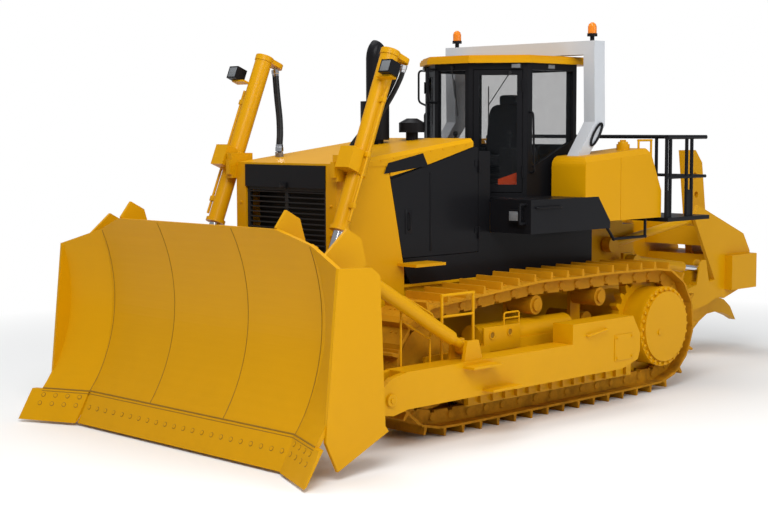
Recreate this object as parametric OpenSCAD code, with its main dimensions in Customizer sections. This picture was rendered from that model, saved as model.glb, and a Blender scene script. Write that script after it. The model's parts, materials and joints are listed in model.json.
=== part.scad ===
/* [Undercarriage] */
// distance between the centres of the two tracks
track_gauge = 2500; // [2400:10:2600]
// width of one track shoe
shoe_width = 610; // [560:10:660]
// nominal length of one track link
link_pitch = 280; // [270:1:290]
// height of a grouser above its shoe plate
grouser_height = 80; // [60:5:90]
// distance from the sprocket axle to the idler axle
wheel_base = 3950; // [3850:10:4050]
// number of teeth on a sprocket
sprocket_teeth = 27; // [27:2:29]
// number of rollers under each track frame
roller_count = 8; // [6:1:8]

/* [Blade] */
// width of the blade over its end bits
blade_width = 4686; // [4500:2:4800]
// height of the blade at its centre
blade_height = 2250; // [2150:10:2300]
// radius of the curved face
blade_radius = 1750; // [1700:10:1900]
// forward angle of each wing
wing_angle = 24; // [20:1:26]
// travel of the blade above the ground, in degrees of its arms
blade_raise = 15; // [10:1:15]

/* [Body] */
// half width of the engine enclosure
hood_half = 800; // [760:5:820]
// half width of the fenders and tanks
fender_half = 1400; // [1340:10:1440]
// height of the cab floor above the ground
cab_floor_z = 2400; // [2380:5:2420]
// height of the cab under its roof
cab_height = 1550; // [1500:10:1600]
// half width of the cab
cab_half = 815; // [790:5:820]

/* [Ripper] */
// length of a ripper arm between its pins
ripper_reach = 1866; // [1800:2:1900]
// fore and aft width of the shank
shank_width = 400; // [360:10:420]
// thickness of the shank
shank_thick = 110; // [90:5:120]

/* [Paint] */
// main paint
paint = "#d9a300"; // [#d9a300, #c98f00]
// dark panels
dark = "#1c1c1f"; // [#1c1c1f, #303034]
// bare and silver steel
steel = "#8d9094"; // [#8d9094, #6e7074]

/* [Hidden] */
$fn = 48;

// running gap between a pin and its eye
pin_gap = 0.05;
// side gap between a moving eye and its ears
side_gap = 7;
// gap round a pane in its frame
seal = 0.3;
// gap between a panel and its frame
panel_gap = 8;

half_gauge = track_gauge / 2;
blade_half = blade_width / 2;
rear_reach = -6360;

link_half = 75;
shoe_plate = 25;
shoe_slit = 5;
pitch_low = link_half + shoe_plate + grouser_height;
sprocket_x = -2300;
sprocket_r = link_pitch / 2 / sin(360 / sprocket_teeth);
sprocket_z = pitch_low + 10 + sprocket_r;
idler_x = sprocket_x + wheel_base;
idler_r = 550;
idler_z = pitch_low + 10 + idler_r;
carrier_rear_x = -1240;
carrier_front_x = -70;
carrier_top = 1425;
carrier_sag = 12;
rail_mid = 130;
rail_width = 70;
roller_r = 115;
roller_z = pitch_low + link_half + roller_r + seal;
roller_rear_x = sprocket_x + 640;
roller_front_x = idler_x - 560;

function circle_point(x, z, r, a) = [x + r * cos(a), z + r * sin(a)];
sprocket_arc = [for (a = [268 : -8 : 92]) circle_point(sprocket_x, sprocket_z, sprocket_r, a)];
idler_arc = [for (a = [85 : -7 : -90]) circle_point(idler_x, idler_z, idler_r, a)];
top_run = [[carrier_rear_x, carrier_top], [(carrier_rear_x + carrier_front_x) / 2, carrier_top - carrier_sag],
  [carrier_front_x, carrier_top]];
low_run = [[roller_front_x + 120, pitch_low], [roller_rear_x - 120, pitch_low]];
loop_open = concat(sprocket_arc, top_run, idler_arc, low_run);
loop_path = concat(loop_open, [loop_open[0]]);
function run_to(path, n) = n == 0 ? 0 : run_to(path, n - 1) + norm(path[n] - path[n - 1]);
loop_runs = [for (i = [0 : len(loop_path) - 1]) run_to(loop_path, i)];
loop_total = loop_runs[len(loop_runs) - 1];
loop_x = [for (i = [0 : len(loop_path) - 1]) [loop_runs[i], loop_path[i][0]]];
loop_z = [for (i = [0 : len(loop_path) - 1]) [loop_runs[i], loop_path[i][1]]];
shoe_count = round(loop_total / link_pitch);
shoe_step = loop_total / shoe_count;
pins = [for (i = [0 : shoe_count - 1]) [lookup(i * shoe_step, loop_x), lookup(i * shoe_step, loop_z)]];
function chord(i) = pins[(i + 1) % shoe_count] - pins[i];
function chord_unit(i) = chord(i) / norm(chord(i));
function on_shoe(i, t, n) = pins[i] + chord_unit(i) * t + [-chord_unit(i)[1], chord_unit(i)[0]] * n;
plate_top = link_half + shoe_plate;
lug_tip = plate_top + grouser_height;
shoe_outer = [for (i = [0 : shoe_count - 1]) let (c = norm(chord(i)))
  each [on_shoe(i, 0, link_half + 8), on_shoe(i, shoe_slit, plate_top), on_shoe(i, 34, plate_top),
    on_shoe(i, 44, lug_tip), on_shoe(i, 68, lug_tip), on_shoe(i, 80, plate_top), on_shoe(i, c - shoe_slit, plate_top)]];
shoe_inner = [for (i = [0 : shoe_count - 1]) on_shoe(i, 0, link_half)];
rail_outer = [for (i = [0 : shoe_count - 1]) on_shoe(i, 0, link_half + 4)];
rail_inner = [for (i = [0 : shoe_count - 1]) let (c = norm(chord(i)))
  each [on_shoe(i, 14, -8), on_shoe(i, 42, -link_half), on_shoe(i, c - 42, -link_half), on_shoe(i, c - 14, -8)]];
idler_tread = sqrt(idler_r * idler_r - link_pitch * link_pitch / 4) - link_half - 4;

trunnion = [-1150, 700];
trunnion_r = 105;
arm_low_y = 1650;
arm_high_y = 1930;
arm_mid_y = (arm_low_y + arm_high_y) / 2;
blade_pin = [2740, 580];
blade_pin_r = 65;
tilt_y = 1770;
tilt_top = [3120, blade_height - 370];
tilt_low = [1500, 950];
tilt_run = norm(tilt_top - tilt_low);
tilt_slope = atan2(tilt_top[0] - tilt_low[0], tilt_top[1] - tilt_low[1]);
tilt_pin_r = 45;
strut_r = 72;
ear_thick = 40;
ear_half = strut_r + 8;
lift_y = 1000;
lift_top = [2270, 2830];
lift_eye = [2990, 1050];
lift_run = norm(lift_eye - lift_top);
lift_lean = atan2(lift_eye[0] - lift_top[0], lift_top[1] - lift_eye[1]);
lift_tube_r = 95;
lift_rod_r = 58;
lift_pin_r = 60;
tube_above = 1262;
tube_below = 716;

edge_low = [3920, 30];
edge_top = [3752, 345];
face_top_x = 3630;
wing_bend_y = 1680;
edge_ahead = edge_low[0] - face_top_x;
tip_run = (blade_half - wing_bend_y + edge_ahead * sin(wing_angle)) / cos(wing_angle);
front_reach = face_top_x + edge_ahead * cos(wing_angle) + tip_run * sin(wing_angle);
mid_x = (front_reach + rear_reach) / 2;
face_chord = [face_top_x - edge_top[0], blade_height - edge_top[1]];
face_mid = edge_top + face_chord / 2;
face_unit = [-face_chord[1], face_chord[0]] / norm(face_chord);
face_rise = sqrt(blade_radius * blade_radius - norm(face_chord) * norm(face_chord) / 4);
face_centre = face_mid - face_unit * face_rise;
face_thick = 45;

guard_front_x = 2390;
guard_top_z = 2800;
hood_rear_x = 300;
hood_slope = atan2(3050 - guard_top_z, guard_front_x - 5 - hood_rear_x);
stack_x = 800;
stack_y = -250;
stack_r = 100;
cleaner_x = 450;
engine_top_z = 2620;
tow_eye = [guard_front_x + 80, 1305];
tow_eye_r = 42;
door_rear_x = 205;
door_low_z = 1810;
cowl_rear_x = -215;
knuckle_h = 70;
engine_hinge = [201, 811];
cab_hinge = [54, 14];
belly_z = 1520;

cab_front_x = -220;
cab_front_half = 270;
cab_post_x = -630;
cab_rear_x = -1550;
cab_top_z = cab_floor_z + cab_height;
cab_wall = 55;
door_rim = 120;
door_run = [cab_front_x - cab_post_x, cab_front_half - cab_half];
door_face = norm(door_run);
door_angle = atan2(door_run[1], door_run[0]);

ripper_hinge = [-2750, 700];
ripper_rise = 7.7;
ripper_pin = ripper_hinge + ripper_reach * [-cos(ripper_rise), sin(ripper_rise)];
link_offset = [80, 1010];
link_hinge = ripper_hinge + link_offset;
link_pin = ripper_pin + link_offset;
ripper_pin_r = 70;
ripper_arm_y = 700;
ripper_link_y = 500;
ram_top = [-2900, 1500];
ram_eye = [-4430, 1290];
ram_run = norm(ram_eye - ram_top);
ram_slope = atan2(ram_eye[0] - ram_top[0], ram_eye[1] - ram_top[1]);
ram_r = 68;
ram_rod_r = 42;
shank_lean = 8;
shank_top = [-5200, 2860];
shank_hole_r = 45;

module row() translate([-mid_x, 0, 0]) children();
module both() { children(); mirror([0, 1, 0]) children(); }
module slab(points, low_y, high_y)
  translate([0, high_y, 0]) rotate([90, 0, 0]) linear_extrude(high_y - low_y) polygon(points);
module ring_slab(outer, inner, low_y, high_y)
  translate([0, high_y, 0]) rotate([90, 0, 0]) linear_extrude(high_y - low_y) difference() {
    polygon(outer);
    polygon(inner);
  }
module block(low, high) translate(low) cube(high - low);
module shaft(at, r, low_y, high_y)
  translate([at[0], high_y, at[1]]) rotate([90, 0, 0]) cylinder(r = r, h = high_y - low_y);
module stick(from, to, r) {
  run = to - from;
  level = norm([run[0], run[1]]);
  translate(from) rotate([0, atan2(level, run[2]), atan2(run[1], run[0])]) cylinder(r = r, h = norm(run));
}
module bar(points, r) for (i = [1 : len(points) - 1]) {
  along = (points[i] - points[i - 1]) / norm(points[i] - points[i - 1]);
  stick(points[i - 1] - along * (i > 1 ? 0.9 * r : 0), points[i] + along * (i < len(points) - 1 ? 0.9 * r : 0), r);
}
module turned(x, z) translate([x, 0, z]) rotate([-90, 0, 0]) rotate_extrude() children();

module main_frame() color(paint) {
  both() block([-2500, 360, 760], [2300, 480, 1180]);
  block([-2300, -480, 700], [1700, 480, 760]);
  block([-2000, -hood_half + 55, 1180], [2300, hood_half - 55, belly_z]);
  block([-1900, -hood_half + 3, belly_z - 30], [1395, hood_half - 3, belly_z]);
  difference() {
    union() {
      block([-3050, -410, 760], [-1900, 410, 2050]);
      block([-3300, -410, 1000], [-3040, 410, 1950]);
      both() block([-3020, 400, 1290], [-2780, 618, 1375]);
      both() block([-3000, 574, 1370], [-2800, 618, 1600]);
    }
    both() shaft(link_hinge, 60 + pin_gap, 330, 420);
    both() shaft(ram_top, 50 + pin_gap, 560, 700);
  }
  both() block([-1450, 400, belly_z], [-1300, 560, cab_floor_z - 52]);
  both() block([-500, 400, belly_z], [-350, 560, cab_floor_z - 52]);
  both() difference() {
    union() {
      slab([[-3050, 560], [-3050, 820], [-2870, 900], [-2560, 900], [-2560, 560]], 480, 640 - side_gap);
      block([-2900, 400, 700], [-2560, 500, 900]);
    }
    shaft(ripper_hinge, ripper_pin_r + pin_gap, 300, 700);
  }
}

module engine_block() color(steel) {
  block([60, -430, belly_z], [1560, 430, engine_top_z]);
  block([1900, -690, belly_z], [2150, 690, 2700]);
}

module radiator_guard() color(paint) {
  both() slab([[guard_front_x, 1180], [guard_front_x, guard_top_z], [1640, guard_top_z], [1400, 1690], [1400, 1180]],
    hood_half - 55, hood_half);
  both() block([2310, 641, 1180], [guard_front_x, hood_half, guard_top_z]);
  block([1640, -hood_half, guard_top_z - 40], [guard_front_x, hood_half, guard_top_z]);
  block([2300, -hood_half, 1180], [guard_front_x, hood_half, 1400]);
  both() block([1040, hood_half, 1730], [1500, 1080, 1760]);
  tow_lug();
}

module tow_lug() difference() {
  block([guard_front_x - 10, -45, 1220], [guard_front_x + 150, 45, 1390]);
  shaft(tow_eye, tow_eye_r, -100, 100);
}

module nose_band() color(dark) {
  block([2345, -636, 2580], [guard_front_x, 636, guard_top_z - 40]);
  block([guard_front_x, -641, 2576], [guard_front_x + 12, 641, guard_top_z + 14]);
}

module grille() color(dark) {
  difference() {
    block([2330, -636, 1400], [2370, 636, 2575]);
    block([2300, -600, 1440], [2400, 600, 2540]);
  }
  for (z = [1475 : 55 : 2520]) block([2332, -610, z], [2368, 610, z + 12]);
  block([2335, -25, 1420], [2365, 25, 2560]);
}

module engine_hood() color(paint) difference() {
  slab([[guard_front_x - 5, guard_top_z], [guard_front_x - 5, guard_top_z + 35], [hood_rear_x, 3085],
    [hood_rear_x, 2992], [1000, 2814], [1608, 2692], [1632, guard_top_z]], -hood_half - 10, hood_half + 10);
  both() translate([guard_front_x - 5, hood_half + 10, guard_top_z + 35]) rotate([0, hood_slope, 0]) rotate([45, 0, 0])
    block([-2400, -28, -28], [200, 28, 28]);
  translate([stack_x, stack_y, 2500]) cylinder(r = stack_r + 0.3, h = 900);
  translate([cleaner_x, 0, 2500]) cylinder(r = 70.3, h = 900);
  slab([[1648, 2500], [1648, 2862], [hood_rear_x + 30, 3040], [hood_rear_x + 30, 2500]],
    -hood_half + 30, hood_half - 30);
}

module door_panel() slab([[1598, 2655], [1412, door_low_z], [door_rear_x, door_low_z], [door_rear_x, 2985],
  [hood_rear_x, 2980], [1000, 2804]], hood_half - 28, hood_half - 3);
module knuckle(at, z, rise, run) translate([at[0], at[1], z]) {
  cylinder(r = rise - 3, h = knuckle_h);
  translate([0, -rise - 3, 0]) cube([run, 10, knuckle_h]);
}
module door_knuckles() for (z = [1950, 2700]) knuckle(engine_hinge, z + knuckle_h, engine_hinge[1] - hood_half + 3, 60);
module post_knuckles() for (z = [1950, 2700]) mirror([1, 0, 0]) translate([-2 * engine_hinge[0], 0, 0])
  knuckle(engine_hinge, z, engine_hinge[1] - hood_half + 3, 60);
module engine_door_left() color(dark) { door_panel(); door_knuckles(); }
module engine_door_right() color(dark) mirror([0, 1, 0]) { door_panel(); door_knuckles(); }

module side_skirts() color(dark) {
  both() post_knuckles();
  both() slab([[1404, door_low_z - panel_gap], [1372, 1640], [1290, belly_z], [-1900, belly_z], [-1900, 2012],
    [0, 2012], [0, 2940], [door_rear_x - panel_gap, 2940], [door_rear_x - panel_gap, door_low_z - panel_gap]],
    hood_half - 28, hood_half - 3);
  translate([0, 0, 2020]) linear_extrude(880) polygon([[cowl_rear_x, cab_front_half - 20], [40, 500], [40, -500],
    [cowl_rear_x, 20 - cab_front_half]]);
}

module exhaust_stack() color(dark) {
  translate([stack_x, stack_y, engine_top_z]) cylinder(r = stack_r, h = 4003 - engine_top_z);
  translate([stack_x, stack_y, 3065]) cylinder(r = 165, h = 440);
  translate([stack_x - 160, stack_y, 4000]) rotate([90, 0, 0]) rotate_extrude(angle = 50) translate([160, 0]) circle(r = stack_r - 2);
}

module precleaner() color(dark) {
  translate([cleaner_x, 0, engine_top_z]) cylinder(r = 70, h = 3160 - engine_top_z);
  translate([cleaner_x, 0, 3150]) cylinder(r = 150, h = 110);
  translate([cleaner_x, 0, 3260]) cylinder(r1 = 150, r2 = 60, h = 50);
}

module platform() color(dark) {
  both() slab([[0, 2020], [0, cab_floor_z], [-1230, cab_floor_z], [-1460, 2105], [-1460, 2020]], hood_half, fender_half);
  both() bar([[-1400, 1370, 2060], [-1570, 1370, 1885], [-2200, 1370, 1885], [-2200, 1370, 2104]], 18);
  both() bar([[-4, 1330, 2140], [110, 1330, 2140], [110, 1330, 2350], [-4, 1330, 2350]], 14);
  block([-1600, -hood_half, cab_floor_z - 52], [cowl_rear_x, hood_half, cab_floor_z]);
}

tank_round = 120;
tank_front = [for (a = [0 : 15 : 90]) [-980 - tank_round + tank_round * cos(a), 2870 - tank_round + tank_round * sin(a)]];
module side_tanks() color(paint) both() {
  difference() {
    slab(concat([[-980, cab_floor_z]], tank_front, [[-2240, tank_top(-2240)], [-2490, 2430], [-2490, 2105], [-1460, 2105],
      [-1230, cab_floor_z]]), 900, fender_half);
    translate([-980 - tank_round, fender_half, 2870]) rotate([0, atan2(80, 1140), 0]) rotate([45, 0, 0])
      block([-1500, -45, -45], [300, 45, 45]);
    block([-1664, fender_half - 6, 2000], [-1656, fender_half + 10, 3000]);
  }
  translate([-2037, 1150, 2915]) cylinder(r = 80, h = 85);
  bar([[-2160, 1290, 2930], [-2160, 1290, 3045], [-2420, 1290, 3045], [-2420, 1290, 2560]], 14);
}

module cab_plan(grow) polygon([[cab_front_x + grow, cab_front_half + grow * 0.5],
  [cab_post_x + grow * 0.5, cab_half + grow], [cab_rear_x - grow, cab_half + grow],
  [cab_rear_x - grow, -cab_half - grow], [cab_post_x + grow * 0.5, -cab_half - grow],
  [cab_front_x + grow, -cab_front_half - grow * 0.5]]);
module at_door() translate([cab_post_x, cab_half, 0]) rotate([0, 0, door_angle]) children();
module cab_frame() color(dark) {
  cab_shell();
  both() leaf_on_post();
  bar([[-230, -250, cab_top_z - 60], [-75, -250, cab_top_z - 60], [-75, -250, cab_top_z - 450], [-230, -250, cab_top_z - 450]], 14);
}
module cab_shell() difference() {
  translate([0, 0, cab_floor_z]) linear_extrude(cab_height) cab_plan(0);
  translate([0, 0, cab_floor_z - 10]) linear_extrude(cab_height + 20) cab_plan(-cab_wall);
  block([cab_front_x - 100, -215, cab_floor_z + 180], [cab_front_x + 100, 215, cab_top_z - 80]);
  both() at_door() block([50, -120, cab_floor_z + 45], [door_face - 50, 60, cab_top_z - 70]);
  both() slab([[-720, cab_floor_z + 330], [-720, cab_top_z - 80], [-1480, cab_top_z - 80], [-1480, cab_floor_z + 650]],
    cab_half - 100, cab_half + 100);
  block([cab_rear_x - 100, -700, cab_floor_z + 600], [cab_rear_x + 100, 700, cab_top_z - 80]);
}

module roof_plan(inset) polygon([[-150 - inset, 330 - inset / 2], [-600 - inset / 2, 880 - inset], [-2000 + inset, 880 - inset],
  [-2000 + inset, -880 + inset], [-600 - inset / 2, -880 + inset], [-150 - inset, -330 + inset / 2]]);
module cab_roof() color(paint) translate([0, 0, cab_top_z]) {
  linear_extrude(50) roof_plan(0);
  linear_extrude(72) roof_plan(12);
  linear_extrude(90) roof_plan(34);
}

module cab_glass() color("#9fb0b8", 0.35) {
  block([cab_front_x - 30, -215 + seal, cab_floor_z + 180 + seal], [cab_front_x - 22, 215 - seal, cab_top_z - 80 - seal]);
  both() slab([[-720 - seal, cab_floor_z + 330 + seal], [-720 - seal, cab_top_z - 80 - seal], [-1480 + seal, cab_top_z - 80 - seal],
    [-1480 + seal, cab_floor_z + 650 + seal]],
    cab_half - 30, cab_half - 22);
  block([cab_rear_x + 22, -700 + seal, cab_floor_z + 600 + seal], [cab_rear_x + 30, 700 - seal, cab_top_z - 80 - seal]);
}

module door_shape() at_door() difference() {
  block([50 + panel_gap, -45, cab_floor_z + 53], [door_face - 50 - panel_gap, 0, cab_top_z - 78]);
  block([door_rim, -80, cab_floor_z + 140], [door_face - door_rim, 60, cab_top_z - 140]);
}
module door_pane() at_door() block([door_rim + seal, -26, cab_floor_z + 140 + seal],
  [door_face - door_rim - seal, -18, cab_top_z - 140 - seal]);
module leaf_on_door() at_door() for (z = [cab_floor_z + 220, cab_top_z - 330]) knuckle(cab_hinge, z + knuckle_h, cab_hinge[1], 60);
module leaf_on_post() at_door() for (z = [cab_floor_z + 220, cab_top_z - 330]) translate([2 * cab_hinge[0], 0, 0]) mirror([1, 0, 0])
  knuckle(cab_hinge, z, cab_hinge[1], 44);
module cab_door_left() color(dark) { door_shape(); leaf_on_door(); }
module cab_door_right() color(dark) mirror([0, 1, 0]) { door_shape(); leaf_on_door(); }
module door_glass_left() color("#9fb0b8", 0.35) door_pane();
module door_glass_right() color("#9fb0b8", 0.35) mirror([0, 1, 0]) door_pane();

module seat() color(dark) {
  block([-1150, -200, cab_floor_z], [-850, 200, cab_floor_z + 330]);
  block([-1250, -270, cab_floor_z + 330], [-720, 270, cab_floor_z + 460]);
  slab([[-1230, cab_floor_z + 460], [-1110, cab_floor_z + 460], [-1190, cab_floor_z + 1080], [-1290, cab_floor_z + 1080]],
    -260, 260);
}

module consoles() color("#3a3a3d") both() {
  block([-1200, 330, cab_floor_z], [-700, 520, cab_floor_z + 560]);
  translate([-760, 430, cab_floor_z + 560]) cylinder(r = 16, h = 170);
}

rops_z = cab_top_z + 110;
function tank_top(x) = 2870 + (-1100 - x) * 80 / 1140;
module rops_frame() color(steel) {
  both() slab([[-1100, tank_top(-1100) + 0.02], [-1320, tank_top(-1320) + 0.02], [-1620, 3230], [-1600, rops_z],
    [-1400, rops_z], [-1420, 3270]], 1030, 1190);
  block([-1600, -1190, rops_z], [-1400, 1190, rops_z + 160]);
}

module lamp_bodies() color(dark) {
  both() translate([-1500, 1080, rops_z + 160]) { cylinder(r = 26, h = 60); translate([0, 0, 55]) cylinder(r = 60, h = 35); }
  both() block([0, 1130, 2150], [70, 1290, 2290]);
}

module beacons() color("#e07a00") both() translate([-1500, 1080, rops_z + 250]) {
    cylinder(r = 52, h = 80);
    translate([0, 0, 79]) cylinder(r1 = 52, r2 = 40, h = 32);
    translate([0, 0, 110]) cylinder(r1 = 40, r2 = 14, h = 20);
  }

module rear_deck() color(dark) block([-3400, -1500, 2050], [-2492, 1500, 2100]);

module rear_rails() color(dark) {
  both() {
    for (x = [-2520, -2600, -2950, -3060]) stick([x, 1450, 2100], [x, 1450, 3080], 22);
    for (x = [-2622, -3082]) slab([[x, 2100], [x, 2430], [x + 100, 2430], [x + 128, 2100]], 1440, 1460);
    bar([[-2520, 1450, 3080], [-3350, 1450, 3080], [-3350, 700, 3080]], 25);
    bar([[-2520, 1450, 2590], [-3350, 1450, 2590], [-3350, 700, 2590]], 20);
    stick([-3350, 720, 2100], [-3350, 720, 3080], 22);
  }
  stick([-3350, -705, 3080], [-3350, 705, 3080], 25);
  stick([-3350, -705, 2590], [-3350, 705, 2590], 20);
}

module lift_yokes() color(paint) both() difference() {
  union() {
    block([2150, hood_half, 2660], [2450, 893, guard_top_z - 5]);
    block([2150, hood_half + 11, guard_top_z - 10], [2450, 893, 2930]);
    block([2440, hood_half + 11, 2700], [2480, 870, 2860]);
  }
  shaft(lift_top, lift_pin_r + pin_gap, 815, 950);
}

module cross_shafts() color(steel) {
  both() shaft([-1500, 900], 100, 480, half_gauge - 220);
  block([480, -half_gauge + 220, 622], [660, half_gauge - 220, 700]);
}

module track_frames() color(paint) both() translate([0, half_gauge, 0]) {
  block([-1650, -220, 530], [900, 220, 900]);
  for (s = [-1, 1]) block([-1760, s * 235 - 15, 255], [1180, s * 235 + 15, 620]);
  for (s = [-1, 1]) slab([[800, 560], [800, 880], [idler_x + 160, 850], [idler_x + 160, 630]], s * 235 - 18, s * 235 + 18);
  for (x = [carrier_rear_x, carrier_front_x]) block([x - 90, -240, 880], [x + 90, -190, 1290]);
  stick([-700, 60, 930], [880, 60, 930], 150);
  for (x = [-1650 : 200 : 1150]) slab([[x, 275], [x + 20, 532], [x + 50, 532], [x + 40, 275]], 245, 292);
  block([-1420, 200, 540], [-880, 280, 890]);
  shaft(trunnion, trunnion_r, 270, arm_high_y - half_gauge - 40);
}

module track() {
  ring_slab(shoe_outer, shoe_inner, -shoe_width / 2, shoe_width / 2);
  for (s = [-1, 1]) ring_slab(rail_outer, rail_inner, s * rail_mid - rail_width / 2, s * rail_mid + rail_width / 2);
}
module track_left() color("#2b2b2d") translate([0, half_gauge, 0]) track();
module track_right() color("#2b2b2d") translate([0, -half_gauge, 0]) track();

tooth_step = 360 / sprocket_teeth;
tooth_root = sprocket_r - 55;
tooth_tip = sprocket_r + 22;
tooth_points = [for (i = [0 : sprocket_teeth - 1]) let (a = i * tooth_step)
  each [circle_point(0, 0, tooth_root, a - 0.32 * tooth_step), circle_point(0, 0, tooth_tip, a - 0.13 * tooth_step),
    circle_point(0, 0, tooth_tip, a + 0.13 * tooth_step), circle_point(0, 0, tooth_root, a + 0.32 * tooth_step)]];
module sprockets() color(paint) both() translate([0, half_gauge, 0]) {
  translate([sprocket_x, 0, sprocket_z]) rotate([90, 0, 0]) translate([0, 0, -50]) linear_extrude(100)
    polygon(tooth_points);
  shaft([sprocket_x, sprocket_z], 245, 480 - half_gauge, 0);
  shaft([sprocket_x, sprocket_z], 400, 760 - half_gauge, 0);
  shaft([sprocket_x, sprocket_z], 470, 0, 300);
  shaft([sprocket_x, sprocket_z], 485, 300, 345);
  shaft([sprocket_x, sprocket_z], 425, 345, 380);
  shaft([sprocket_x + 140, sprocket_z - 60], 34, 378, 394);
}

module idlers() color(steel) both() translate([0, half_gauge, 0]) {
  shaft([idler_x, idler_z], idler_tread, -165, 165);
  shaft([idler_x, idler_z], idler_tread + 22, -85, 85);
  shaft([idler_x, idler_z], 70, -217, 217);
}

module track_rollers() color(steel) both() translate([0, half_gauge, 0]) {
  for (i = [0 : roller_count - 1]) {
    x = roller_rear_x + i * (roller_front_x - roller_rear_x) / (roller_count - 1);
    shaft([x, roller_z], roller_r, -180, 180);
    shaft([x, roller_z], 45, -220, 220);
  }
  for (x = [carrier_rear_x, carrier_front_x]) {
    shaft([x, carrier_top - link_half - 120], 108, -180, 175);
    shaft([x, carrier_top - link_half - 120], 45, -190, 0);
    shaft([x, carrier_top - link_half - 120], 70, 170, 200);
  }
}

module arm_shape() {
  difference() {
    union() {
      slab([[2530, 460], [-1000, 460], [-1300, 540], [-1340, 640], [-1340, 840], [-1200, 1050], [-90, 1050], [-90, 830],
        [2530, 830]], arm_low_y, arm_high_y);
      for (y = [arm_low_y, arm_high_y - 65]) slab([[2500, 460], [2500, 830], [2720, 790], [2860, 700], [2890, 560],
        [2820, 440], [2700, 420]], y, y + 65);
    }
    shaft(trunnion, trunnion_r + pin_gap, 0, arm_high_y - 35);
  }
  shaft(blade_pin, blade_pin_r, arm_low_y - 15, arm_high_y + 15);
  strut_ears() slab([[1360, 825], [1640, 825], [1590, 1035], [1420, 1035]], 0, ear_thick);
}
module strut_ears() for (y = [tilt_y - ear_half - ear_thick, tilt_y + ear_half]) translate([0, y, 0]) children();
ladder_r = 16;
seat_gap = 0.02;
ladder_y = arm_low_y - ladder_r - seat_gap;
module arm_steps() color(paint) both() {
  block([1250, arm_high_y + seat_gap, 770], [1700, arm_high_y + 150, 795]);
  block([930, arm_high_y + seat_gap, 505], [1400, arm_high_y + 150, 530]);
  bar([[1220, ladder_y, 600], [1220, ladder_y, 1490], [1700, ladder_y, 1490], [1700, ladder_y, 600]], ladder_r);
  stick([1220, ladder_y, 1270], [1700, ladder_y, 1270], ladder_r - 2);
}
module push_arm_left() color(paint) arm_shape();
module push_arm_right() color(paint) mirror([0, 1, 0]) arm_shape();

function face_x(z, deep) = face_centre[0] - sqrt(pow(blade_radius + deep, 2) - pow(z - face_centre[1], 2));
edge_seat = edge_top[1] + 3;
face_steps = 20;
bend_lap = 35;
function face_line(low_z, high_z, deep, steps) = [for (i = [0 : steps])
  let (z = low_z + (high_z - low_z) * i / steps) [face_x(z, deep), z]];
function turned_back(points) = [for (i = [len(points) - 1 : -1 : 0]) points[i]];
function face_profile(steps) = concat(face_line(edge_seat - steps / 2, blade_height, 0, steps),
  turned_back(face_line(edge_seat - steps / 2, blade_height, face_thick, steps)));
function wing_x(y, z, deep) = let (ahead = face_x(z, deep) - face_top_x,
  run = (y - wing_bend_y + ahead * sin(wing_angle)) / cos(wing_angle))
  face_top_x + ahead * cos(wing_angle) + run * sin(wing_angle);
function shell_x(y, z, deep) = y <= wing_bend_y ? face_x(z, deep) : wing_x(y, z, deep);
module wing_place() translate([face_top_x, wing_bend_y, 0]) rotate([0, 0, -wing_angle])
  translate([-face_top_x, -wing_bend_y, 0]) children();
module bend_side(sign) translate([face_top_x, wing_bend_y, 0]) rotate([0, 0, -wing_angle / 2])
  translate([-2000, sign > 0 ? -bend_lap : bend_lap - 4000, -500]) cube([4000, 4000, 4000]);
module blade_shell() difference() {
  union() {
    intersection() { slab(face_profile(face_steps), -2400, 2400); bend_side(-1); mirror([0, 1, 0]) bend_side(-1); }
    both() intersection() { wing_place() slab(face_profile(face_steps + 3), 1300, blade_half + 600); bend_side(1); }
  }
  block([2000, -3000, -100], [5000, 3000, edge_seat]);
  both() block([2000, blade_half - 113, -100], [5000, blade_half + 900, 3000]);
  both() translate([0, 1276, blade_height]) rotate([-17.9, 0, 0]) block([2000, 0, 0], [5000, 2000, 1000]);
}
module back_plate(rear, low_z, high_z, low_y, high_y) slab(concat(face_line(low_z, high_z, 20, 6), rear), low_y, high_y);
module blade_back() {
  back_plate([[3080, 640], [3080, 365]], 365, 640, -1600, 1600);
  back_plate([[3080, blade_height - 350], [3080, blade_height - 590]], blade_height - 590, blade_height - 350, -1600, 1600);
  both() back_plate([[3095, blade_height - 400], [3095, 420]], 420, blade_height - 400, 580, 620);
  both() for (y = [lift_y - 100, lift_y + 60]) back_plate([[3120, 1320], [2960, 1140], [2900, 1060], [2920, 950], [3080, 600]],
    600, 1400, y, y + 40);
  both() difference() {
    slab([[wing_x(arm_mid_y, 390, 38), 390], [2800, 430], [2640, 500], [2600, 580], [2640, 660], [2760, 720], [3100, 700],
      [wing_x(arm_mid_y, 620, 38), 620]], arm_low_y + 72, arm_high_y - 72);
    shaft(blade_pin, blade_pin_r + pin_gap, 1600, 2000);
  }
  both() {
    for (y = [tilt_y - ear_half - ear_thick, tilt_y + ear_half]) slab([[shell_x(y, tilt_top[1] - 190, 28), tilt_top[1] - 190],
      tilt_top + [30, -140], tilt_top + [-80, -50], tilt_top + [-80, 50], tilt_top + [0, 90],
      [shell_x(y, tilt_top[1], 28), tilt_top[1]]], y, y + ear_thick);
    shaft(tilt_top, tilt_pin_r, tilt_y - ear_half - 45, tilt_y + ear_half + 45);
  }
  both() back_plate([[3610, blade_height + 13], [3481, blade_height + 175], [3313, blade_height + 86],
    [3236, blade_height - 154]], blade_height - 350, blade_height - 60, 1240, 1275);
}
rib_y = blade_half - 436;
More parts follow.
